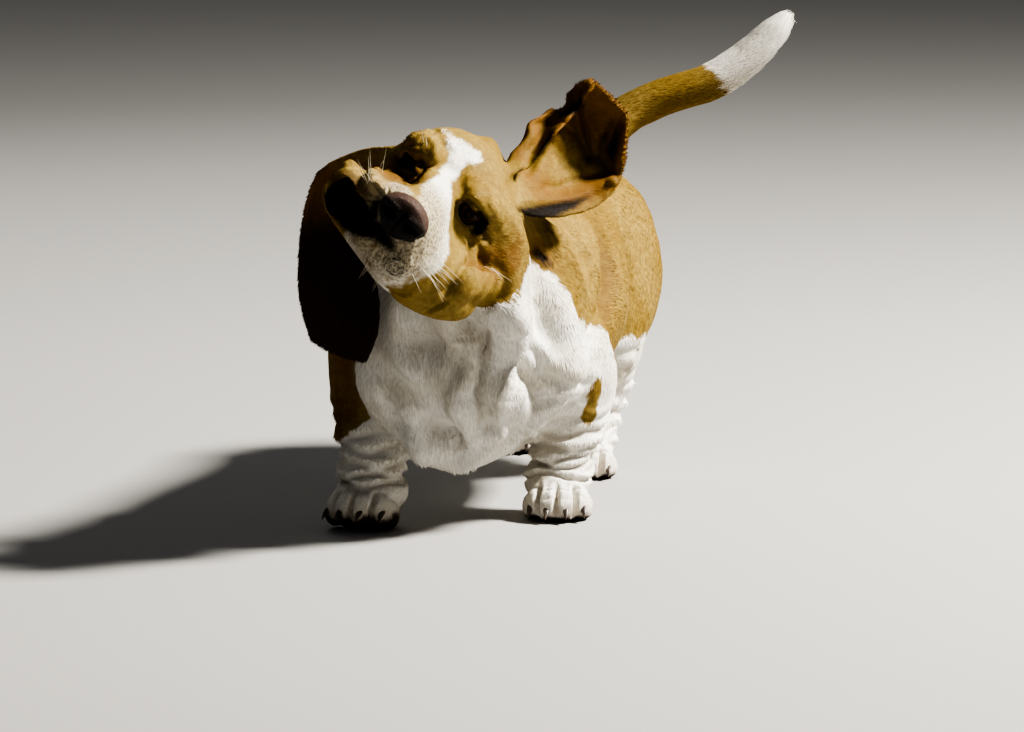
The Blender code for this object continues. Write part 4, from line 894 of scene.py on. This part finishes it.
def shareOf(name, chosen):
    # the faces of the skin that one piece of the coat grows on, with a flat unwrap of their own
    share = bmesh.new()
    share.from_mesh(skinMesh)
    share.faces.ensure_lookup_table()
    bmesh.ops.delete(share, geom=[share.faces[i] for i in np.flatnonzero(~chosen)], context="FACES")
    mesh = bpy.data.meshes.new(name)
    share.to_mesh(mesh)
    share.free()
    mesh.uv_layers.new(name="rootPlace")
    obj = newObject(name, mesh)
    unwrapped(obj)
    return obj


def faceShares():
    first = np.empty(len(skinMesh.polygons), np.int32)
    skinMesh.polygons.foreach_get("loop_start", first)
    corners = np.empty(len(skinMesh.loops), np.int32)
    skinMesh.loops.foreach_get("vertex_index", corners)
    areas = np.empty(len(skinMesh.polygons), np.float32)
    skinMesh.polygons.foreach_get("area", areas)
    anchors = corners[first]
    shares = {}
    left = np.ones(len(first), bool)
    for name, rule in coat["pieces"].items():
        chosen = rule()[anchors] & left
        left &= ~chosen
        wanted = float(np.sum(areas[chosen] * sizes[anchors[chosen], 3] * 10000))
        shares[name] = (chosen, wanted)
    print("left without a coat", int(left.sum()))
    return shares


class Wire:
    # a socket of a shader, so that sums on it are written as they are on numbers
    def __init__(self, tree, socket=None):
        self.tree = tree
        self.socket = socket

    def node(self, kind, settings=None, values=None, out=0):
        made = self.tree.nodes.new(kind)
        for name, value in (settings or {}).items():
            if name == "stops":
                stops = made.color_ramp.elements
                while len(stops) < len(value):
                    stops.new(0.5)
                for stop, (place, colour) in zip(stops, value):
                    stop.position = place
                    stop.color = colour
            else:
                setattr(made, name, value)
        for name, value in (values or {}).items():
            if isinstance(value, Wire):
                self.tree.links.new(value.socket, made.inputs[name])
            else:
                made.inputs[name].default_value = value
        return Wire(self.tree, made.outputs[out])

    def sum(self, operation, first, second):
        return self.node("ShaderNodeMath", {"operation": operation}, {0: first, 1: second})

    def __add__(self, other):
        return self.sum("ADD", self, other)

    def __radd__(self, other):
        return self.sum("ADD", other, self)

    def __sub__(self, other):
        return self.sum("SUBTRACT", self, other)

    def __rsub__(self, other):
        return self.sum("SUBTRACT", other, self)

    def __mul__(self, other):
        return self.sum("MULTIPLY", self, other)

    def __rmul__(self, other):
        return self.sum("MULTIPLY", other, self)

    def __truediv__(self, other):
        return self.sum("DIVIDE", self, other)

    def attribute(self, name):
        return self.node("ShaderNodeAttribute", {"attribute_name": name}, out="Fac")

    def noise(self, scale, detail=2.0, roughness=0.5, squeeze=None):
        place = self.node("ShaderNodeTexCoord", out="Object")
        if squeeze:
            place = self.node("ShaderNodeMapping", {}, {"Vector": place, "Scale": squeeze})
        values = {"Vector": place, "Scale": scale, "Detail": detail, "Roughness": roughness}
        return self.node("ShaderNodeTexNoise", {}, values)

    def within(self, start, end):
        values = {"Value": self, "From Min": start, "From Max": end}
        return self.node("ShaderNodeMapRange", {"interpolation_type": "SMOOTHSTEP"}, values)

    def mixed(self, factor, first, second, how="MIX"):
        return self.node("ShaderNodeMix", {"data_type": "RGBA", "blend_type": how}, {0: factor, 6: first, 7: second}, out=2)


def newFinish(name, fill, **settings):
    # a material whose shader takes the wires that fill gives, and keeps its other settings as they are
    finish = bpy.data.materials.new(name)
    finish.use_nodes = True
    tree = finish.node_tree
    shader = tree.nodes["Principled BSDF"]
    for socket, value in settings.items():
        shader.inputs[socket.replace("_", " ")].default_value = value
    for socket, wire in fill(Wire(tree)).items():
        tree.links.new(wire.socket, shader.inputs[socket])
    return finish


tones = {
    "white": (0.72, 0.70, 0.645, 1),
    "whiteWarm": (0.62, 0.565, 0.455, 1),
    "tan": (0.195, 0.130, 0.029, 1),
    "tanDeep": (0.13, 0.067, 0.014, 1),
    "tanPale": (0.245, 0.176, 0.051, 1),
    "brown": (0.155, 0.078, 0.019, 1),
    # brownDeep: painted shade, mostly on the right ear
    "brownDeep": (0.03, 0.015, 0.008, 1),
    "shade": (0.30, 0.245, 0.18, 1),
    "stain": (0.30, 0.19, 0.07, 1),
    "tick": (0.17, 0.13, 0.085, 1),
    "muzzle": (0.34, 0.285, 0.16, 1),
    "dark": (0.008, 0.0045, 0.003, 1),
    "bare": (0.44, 0.35, 0.20, 1),
}


def furColour(wire):
    ragged = wire.noise(70.0, 3.0) - 0.5
    white = (wire.attribute("white") + ragged * 1.5).within(-0.3, 0.3)
    brown = (wire.attribute("brown") + ragged * 2.4).within(-1.2, 1.2)
    patch = wire.noise(9.0, 2.0).within(0.36, 0.64)
    fine = wire.noise(160.0, 2.0).within(0.3, 0.7)
    tan = wire.mixed(patch, tones["tan"], tones["tanPale"])
    tan = wire.mixed((1 - fine) * 0.42, tan, tones["tanDeep"])
    tan = wire.mixed(brown, tan, tones["brown"])
    # painted shade: the deepest brown, mostly on the right ear
    tan = wire.mixed(wire.attribute("brown").within(2.0, 4.0), tan, tones["brownDeep"])
    pale = wire.mixed(wire.noise(22.0, 2.0).within(0.4, 0.75) * 0.6, tones["white"], tones["whiteWarm"])
    pale = wire.mixed(wire.attribute("ticks") * 0.8, pale, tones["muzzle"])
    speck = wire.noise(330.0, 2.0, 0.6).within(0.46, 0.6) * wire.attribute("ticks") * 0.85
    pale = wire.mixed(speck, pale, tones["tick"])
    colour = wire.mixed(white, tan, pale)
    colour = wire.mixed(wire.attribute("bare") * 0.75, colour, tones["bare"])
    # painted shade in the folds, creases and hollows
    colour = wire.mixed(wire.attribute("shade"), colour, tones["shade"], "MULTIPLY")
    # the paws' stains, and painted shade in the clefts between the toes
    colour = wire.mixed(wire.attribute("stain") * (0.4 + wire.noise(60.0, 2.0) * 0.8), colour, tones["stain"])
    # the dark of pads, eye rims and the lip's inside, and painted shade in hollows and gaps
    return wire.mixed(wire.attribute("dark"), colour, tones["dark"])


def skinFill(wire):
    grain = wire.noise(900.0, 2.0)
    bumped = wire.node("ShaderNodeBump", {}, {"Strength": 0.35, "Distance": 0.0008, "Height": grain})
    return {"Base Color": furColour(wire), "Normal": bumped}


def coatFill(wire):
    tone = wire.attribute("tone")
    shaded = wire.mixed((1 - tone) * 0.42, furColour(wire), (0.42, 0.36, 0.30, 1), "MULTIPLY")
    return {"Base Color": shaded}


skinFinish = newFinish("shortCoat", skinFill, Roughness=0.75, Specular_IOR_Level=0.06)
coatFinish = newFinish("tuftedCoat", coatFill, Roughness=0.65, Specular_IOR_Level=0.08)
skinMesh.materials.clear()
skinMesh.materials.append(skinFinish)
for polygon in skinMesh.polygons:
    polygon.use_smooth = True

lockObject = tuftMesh()
lockTree = coatTree()
thinner = 1.0
for number, (name, (chosen, wanted)) in enumerate(faceShares().items()):
    piece = shareOf(name, chosen)
    fullness = thinner * min(1.0, coat["fullest"] / wanted)
    grown = piece.modifiers.new("coat", "NODES")
    grown.node_group = lockTree
    setInputs(grown, {"tuft": lockObject, "finish": coatFinish, "seed": coat["seed"] + number, "fullness": fullness, "stray": 0.09, "lift": 0.03})
    plainMesh(piece)
    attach(piece, "root")
    print(name, "wants", int(wanted), "faces", len(piece.data.polygons))
bpy.data.objects.remove(lockObject)
bpy.data.node_groups.remove(lockTree)

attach(skinObject, "root")
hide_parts(*skin["nodes"])

# The eyes, set in their sockets, looking forward and a little outwards
eye = {"iris": 0.86, "pupil": 0.32, "cornea": 0.11, "rows": 40, "segments": 48, "outwards": 0.42, "down": -0.1}


def eyeFill(wire):
    away = wire.attribute("fromAxis")
    streaks = wire.noise(700.0, 2.0) - 0.5
    iris = wire.mixed((away + streaks * 0.12).within(0.3, 0.8), (0.045, 0.018, 0.007, 1), (0.008, 0.004, 0.003, 1))
    iris = wire.mixed(away.within(eye["pupil"] - 0.02, eye["pupil"] + 0.02), (0.002, 0.002, 0.002, 1), iris)
    # the white of the eye: reddish, and darkened as painted shade
    white = wire.mixed(wire.noise(420.0, 3.0).within(0.45, 0.7) * 0.5, (0.16, 0.085, 0.07, 1), (0.11, 0.025, 0.018, 1))
    return {"Base Color": wire.mixed(away.within(eye["iris"] - 0.05, eye["iris"] + 0.03), iris, white)}


eyeFinish = newFinish("eyeGloss", eyeFill, Roughness=0.06, Specular_IOR_Level=0.12)


def makeEye(side, name):
    looks = unit(headAxes[0] + side * eye["outwards"] * headAxes[1] - eye["down"] * headAxes[2])
    across = unit(np.cross(looks, headAxes[2]))
    above = np.cross(across, looks)
    radius = eyeRadius * 100
    shape = bmesh.new()
    rings = []
    for i in range(1, eye["rows"]):
        angle = math.pi * (i / eye["rows"]) ** 1.15
        away = radius * math.sin(angle)
        swell = eye["cornea"] * max(1 - (away / 0.98) ** 2, 0) ** 2 if angle < math.pi / 2 else 0.0
        ahead = radius * math.cos(angle) + swell
        ring = []
        for j in range(eye["segments"]):
            turn = 2 * math.pi * j / eye["segments"]
            place = looks * ahead + (across * math.cos(turn) + above * math.sin(turn)) * away
            ring.append((shape.verts.new(eyeSpots[name] + place * 0.01), away if angle < math.pi / 2 else 2.0))
        rings.append(ring)
    front = shape.verts.new(eyeSpots[name] + looks * (radius + eye["cornea"]) * 0.01)
    back = shape.verts.new(eyeSpots[name] - looks * radius * 0.01)
    for j in range(eye["segments"]):
        k = (j + 1) % eye["segments"]
        shape.faces.new((front, rings[0][j][0], rings[0][k][0]))
        shape.faces.new((back, rings[-1][k][0], rings[-1][j][0]))
        for low, high in zip(rings, rings[1:]):
            shape.faces.new((low[j][0], high[j][0], high[k][0], low[k][0]))
    bmesh.ops.recalc_face_normals(shape, faces=shape.faces)
    mesh = bpy.data.meshes.new(f"eyeball{name.title()}")
    shape.to_mesh(mesh)
    shape.free()
    values = np.array([away for ring in rings for _, away in ring] + [0.0, 2.0])
    setAttribute(mesh, "fromAxis", values)
    mesh.materials.append(eyeFinish)
    for polygon in mesh.polygons:
        polygon.use_smooth = True
    obj = newObject(f"eyeball{name.title()}", mesh)
    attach(obj, "root")
    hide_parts(f"eye_{name}")


makeEye(1, "left")
makeEye(-1, "right")
print("eyes made")

# The nose: broad leather with a flat front, a groove down its middle and nostrils that curl out to its sides
nose = {
    "place": (11.2, 0.0, -0.6),
    "radii": (1.95, 2.9, 2.35),
    "flatFrom": 0.9,
    "flatness": 0.5,
    "narrowBelow": 0.3,
    "groove": (0.2, 0.16),
    "nostril": ((1.4, 1.1, -0.05), 1.0, 0.5, 0.4),
    "slit": ([(1.4, 1.5, 0.1), (1.0, 2.15, 0.05), (0.4, 2.65, 0.15)], 0.6, 0.2),
    "wing": ([(1.4, 0.8, 0.75), (1.2, 1.7, 0.8), (0.7, 2.4, 0.65)], 0.2, 0.45),
}


def noseFill(wire):
    place = wire.node("ShaderNodeTexCoord", out="Object")
    cells = wire.node("ShaderNodeTexVoronoi", {"feature": "DISTANCE_TO_EDGE"}, {"Vector": place, "Scale": 620.0})
    bumped = wire.node("ShaderNodeBump", {}, {"Strength": 0.6, "Distance": 0.0005, "Height": cells.within(0.0, 0.25)})
    colour = wire.mixed(wire.noise(60.0, 3.0).within(0.45, 0.75), (0.005, 0.004, 0.0035, 1), (0.014, 0.009, 0.008, 1))
    # painted light: the top of the leather is lighter brown, where light falls on it
    colour = wire.mixed(wire.attribute("upper") * (0.5 + wire.noise(90.0, 2.0)), colour, (0.060, 0.034, 0.024, 1))
    return {"Base Color": colour, "Normal": bumped, "Roughness": wire.noise(300.0, 2.0) * 0.25 + 0.36}


noseFinish = newFinish("noseLeather", noseFill, Specular_IOR_Level=0.16)
noseShape = bmesh.new()
bmesh.ops.create_icosphere(noseShape, subdivisions=6, radius=1.0)
noseMesh = bpy.data.meshes.new("noseLeather")
noseShape.to_mesh(noseMesh)
noseShape.free()
noseObject = newObject("noseLeather", noseMesh)
way = meshPoints(noseMesh)
form = way * nose["radii"]
over = np.maximum(form[:, 0] - nose["flatFrom"], 0)
form[:, 0] -= over * nose["flatness"]
form[:, 1] *= 1 - nose["narrowBelow"] * np.clip(-way[:, 2], 0, 1)
out = unit(way / nose["radii"])
form -= out * (nose["groove"][0] * bump(form[:, 1], nose["groove"][1]) * step(way[:, 0], 0.1, 0.5) * step(-way[:, 2], -0.75, -0.4))[:, None]
for side in (1, -1):
    mirror = (1, side, 1)
    line, deep, wide = nose["slit"]
    distance, along = nearLine(form, np.array(line) * mirror)
    form -= out * (deep * (1 - 0.6 * along) * bump(distance, wide))[:, None]
    line, high, wide = nose["wing"]
    form += out * (high * bump(nearLine(form, np.array(line) * mirror)[0], wide))[:, None]
    middle, deep, wide, tall = nose["nostril"]
    gap = np.hypot((form[:, 1] - middle[1] * side) / wide, (form[:, 2] - middle[2]) / tall)
    form[:, 0] -= deep * np.exp(-(gap ** 4)) * step(form[:, 0], 0.0, 0.6)
setPoints(noseMesh, (form + nose["place"]) * 0.01 @ headAxes + headMiddle)
noseObject.modifiers.new("fewer", "DECIMATE").ratio = 0.4
plainMesh(noseObject)
noseMesh = noseObject.data
form = (toHead(meshPoints(noseMesh)) - nose["place"]) / nose["radii"]
# painted light: how far up the leather's top each place is, for the lighter brown painted there
setAttribute(noseMesh, "upper", step(form[:, 2] - 0.45 * form[:, 0] + 0.2 * np.abs(form[:, 1]), 0.0, 0.7))
noseMesh.materials.clear()
noseMesh.materials.append(noseFinish)
for polygon in noseMesh.polygons:
    polygon.use_smooth = True
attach(noseObject, "root")
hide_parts("nose")
print("nose made", len(noseMesh.polygons))

# Whiskers on the muzzle, brows and chin, and the long curled hairs of the chin's whorl
whisker = {
    "seed": 5,
    "sides": 4,
    "rings": 7,
    "radius": 0.024,
    "beds": [  # place in head centimetres, spread, how many, length, and which way they lean
        ((8.6, -5.6, -0.9), 1.0, 9, 3.4, (0.3, -0.5, 0.8)),
        ((9.0, 4.4, -3.6), 1.5, 14, 3.2, (0.1, 1.0, -0.3)),
        ((10.6, 1.0, -6.0), 1.4, 8, 2.2, (0.6, 0.4, -0.8)),
        ((1.6, 3.4, 2.8), 0.6, 4, 2.2, (0.6, 0.3, 0.9)),
        ((1.0, -4.4, 3.0), 0.5, 3, 1.8, (0.6, -0.4, 0.9)),
        ((-1.0, 8.8, -4.0), 0.6, 3, 2.6, (0.1, 1.0, -0.2)),
    ],
    "whorl": ((11.4, 2.7, -5.2), 42, (0.35, 1.25)),
}


def whiskerLines():
    chance = np.random.default_rng(whisker["seed"])
    surface = BVHTree.FromPolygons(points.tolist(), [list(polygon.vertices) for polygon in skinMesh.polygons])
    for place, spread, many, length, lean in whisker["beds"]:
        lean = unit(np.array(lean)) @ headAxes
        for _ in range(many):
            spot = fromHead(*(np.array(place) + chance.uniform(-spread, spread, 3)))
            root, normal = surface.find_nearest(Vector(spot))[:2]
            way = unit(np.array(normal) * 0.7 + lean + chance.uniform(-0.25, 0.25, 3))
            size = length * chance.uniform(0.6, 1.2) * 0.01
            droop = np.array((0, 0, -0.12)) + 0.1 * headAxes[0] * -1
            steps = np.linspace(-0.05, 1, whisker["rings"])
            yield [np.array(root) + (way * t + droop * t * t) * size for t in steps], whisker["radius"], chance.uniform(0.6, 1.0)
    middle, many, (near, far) = whisker["whorl"]
    for _ in range(many):
        start, reach, turns, rise = chance.uniform((0, near, 0.5, 0.5), (6.28, far, 1.7, 4.0))
        aside, below = chance.normal(0, 0.3, 2)
        line = []
        for t in np.linspace(0, 1, whisker["rings"]):
            angle = start + turns * t
            spot = fromHead(middle[0], middle[1] + aside + reach * math.cos(angle), middle[2] + below + (reach - 0.2 * t) * math.sin(angle))
            root, normal = surface.find_nearest(Vector(spot))[:2]
            line.append(np.array(root) + np.array(normal) * (0.3 + rise * t * t) * 0.001)
        yield line, whisker["radius"] * 1.2, float(chance.random() < 0.4)


def whiskerFill(wire):
    tone = wire.attribute("tone").within(0.3, 0.7)
    colour = wire.mixed(tone, (0.03, 0.022, 0.016, 1), (0.72, 0.66, 0.52, 1))
    return {"Base Color": colour, "Roughness": wire.noise(500.0, 1.0) * 0.2 + 0.35}


def makeWhiskers():
    shape = bmesh.new()
    tones = []
    for line, radius, tone in whiskerLines():
        rings = []
        for i, spot in enumerate(line):
            way = unit(line[min(i + 1, len(line) - 1)] - line[max(i - 1, 0)])
            across = unit(np.cross(way, headAxes[2] + 0.3 * headAxes[1]))
            over = np.cross(way, across)
            wide = radius * 0.01 * (1 - 0.85 * (i / (len(line) - 1)) ** 2)
            turns = [2 * math.pi * j / whisker["sides"] for j in range(whisker["sides"])]
            rings.append([shape.verts.new(spot + (across * math.cos(a) + over * math.sin(a)) * wide) for a in turns])
            tones += [tone] * whisker["sides"]
        for low, high in zip(rings, rings[1:]):
            for j in range(whisker["sides"]):
                k = (j + 1) % whisker["sides"]
                shape.faces.new((low[j], low[k], high[k], high[j]))
        shape.faces.new(rings[0][::-1])
        shape.faces.new(rings[-1])
    bmesh.ops.recalc_face_normals(shape, faces=shape.faces)
    mesh = bpy.data.meshes.new("whiskers")
    shape.to_mesh(mesh)
    shape.free()
    setAttribute(mesh, "tone", np.array(tones))
    mesh.materials.append(newFinish("whiskerHair", whiskerFill))
    obj = newObject("whiskers", mesh)
    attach(obj, "root")


makeWhiskers()
print("whiskers made")

# The claws of each paw, blunt and curved down, over the solid's own
claw = {
    "radii": [(0.36, 0.44), (0.36, 0.43), (0.33, 0.38), (0.28, 0.31), (0.2, 0.22), (0.1, 0.11), (0.03, 0.03)],
    "sides": 12,
    "start": (-2.0, 1.85),
    "end": (-3.5, 0.62),
}


def clawFill(wire):
    colour = wire.mixed(wire.noise(420.0, 2.0, squeeze=(1, 0.2, 1)).within(0.35, 0.7), (0.02, 0.014, 0.012, 1), (0.10, 0.07, 0.055, 1))
    return {"Base Color": colour, "Roughness": wire.noise(900.0, 2.0) * 0.2 + 0.28}


clawFinish = newFinish("clawHorn", clawFill, Specular_IOR_Level=0.45)


def makeClaws(paw):
    limb, _, side = paw.split("_")
    name = limb.title() + side
    place = pawMatrix(paw)
    shape = bmesh.new()
    for across, ahead in toes:
        start = Vector((across * 1.04, claw["start"][0] - ahead, claw["start"][1]))
        end = Vector((across * 1.12, claw["end"][0] - ahead, claw["end"][1]))
        bend = start.lerp(end, 0.6) + Vector((0, -0.1, 0.34))
        rings = []
        for i, (wide, deep) in enumerate(claw["radii"]):
            t = i / (len(claw["radii"]) - 1)
            middle = start * (1 - t) ** 2 + bend * 2 * t * (1 - t) + end * t * t
            ring = []
            for j in range(claw["sides"]):
                turn = 2 * math.pi * j / claw["sides"]
                spot = place @ (middle + Vector((wide * math.cos(turn), 0.45 * deep * math.sin(turn), deep * math.sin(turn))))
                ring.append(shape.verts.new(fromBody(*spot)))
            rings.append(ring)
        for low, high in zip(rings, rings[1:]):
            for j in range(claw["sides"]):
                k = (j + 1) % claw["sides"]
                shape.faces.new((low[j], low[k], high[k], high[j]))
        shape.faces.new(rings[0][::-1])
        shape.faces.new(rings[-1])
    bmesh.ops.recalc_face_normals(shape, faces=shape.faces)
    mesh = bpy.data.meshes.new(f"claws{name}")
    shape.to_mesh(mesh)
    shape.free()
    mesh.materials.append(clawFinish)
    for polygon in mesh.polygons:
        polygon.use_smooth = True
    obj = newObject(f"claws{name}", mesh)
    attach(obj, "root")


for name in paws:
    makeClaws(name)
print("claws made")

# The studio: a pale floor, a soft light from the right and above, and the rest of the room
studio = {
    "floor": 30.0,
    "floorColour": (0.32, 0.313, 0.302, 1),
    "room": (0.86, 0.89, 0.94, 1),
    "roomStrength": 0.10,
    "lights": {
        "key": ((3.0, 0.75, 3.4), 0.7, 860.0, (1.0, 0.96, 0.89)),
        "fill": ((-2.4, -4.2, 1.8), 2.6, 4.0, (0.93, 0.96, 1.0)),
        "rim": ((-1.8, 3.0, 2.4), 1.6, 30.0, (1.0, 0.98, 0.95)),
    },
    "target": (-0.0090, -0.0790, 0.1586),
    "azimuth": 13.5,
    "elevation": 7.5,
    "distance": 6.5,
    "lens": 212.5,
}


def floorFill(wire):
    colour = wire.mixed(wire.noise(1.3, 2.0).within(0.3, 0.7) * 0.25, studio["floorColour"], (0.30, 0.295, 0.287, 1))
    return {"Base Color": colour}


half = studio["floor"] / 2
floorMesh = bpy.data.meshes.new("floor")
floorMesh.from_pydata([(-half, -half, 0), (half, -half, 0), (half, half, 0), (-half, half, 0)], [], [(0, 1, 2, 3)])
floorMesh.materials.append(newFinish("floorPaint", floorFill, Roughness=0.85))
newObject("floor", floorMesh)

world = bpy.data.worlds.new("room")
world.use_nodes = True
world.node_tree.nodes["Background"].inputs["Color"].default_value = studio["room"]
world.node_tree.nodes["Background"].inputs["Strength"].default_value = studio["roomStrength"]
bpy.context.scene.world = world
bpy.context.scene.view_settings.view_transform = "AgX"
bpy.context.scene.view_settings.look = "AgX - High Contrast"


def aimed(obj, target):
    obj.rotation_euler = (Vector(target) - obj.location).to_track_quat("-Z", "Y").to_euler()


for name, (place, size, power, colour) in studio["lights"].items():
    light = bpy.data.lights.new(name, "AREA")
    light.size = size
    light.energy = power
    light.color = colour
    lamp = newObject(name, light)
    lamp.location = place
    lamp.visible_glossy = name == "key"
    aimed(lamp, (0, 0, 0.2))

lens = bpy.data.cameras.new("camera")
lens.lens = studio["lens"]
lens.sensor_width = 36.0
camera = newObject("camera", lens)
turn, rise = math.radians(studio["azimuth"]), math.radians(studio["elevation"])
back = Vector((math.sin(turn) * math.cos(rise), -math.cos(turn) * math.cos(rise), math.sin(rise)))
camera.location = Vector(studio["target"]) + back * studio["distance"]
aimed(camera, studio["target"])
bpy.context.scene.camera = camera
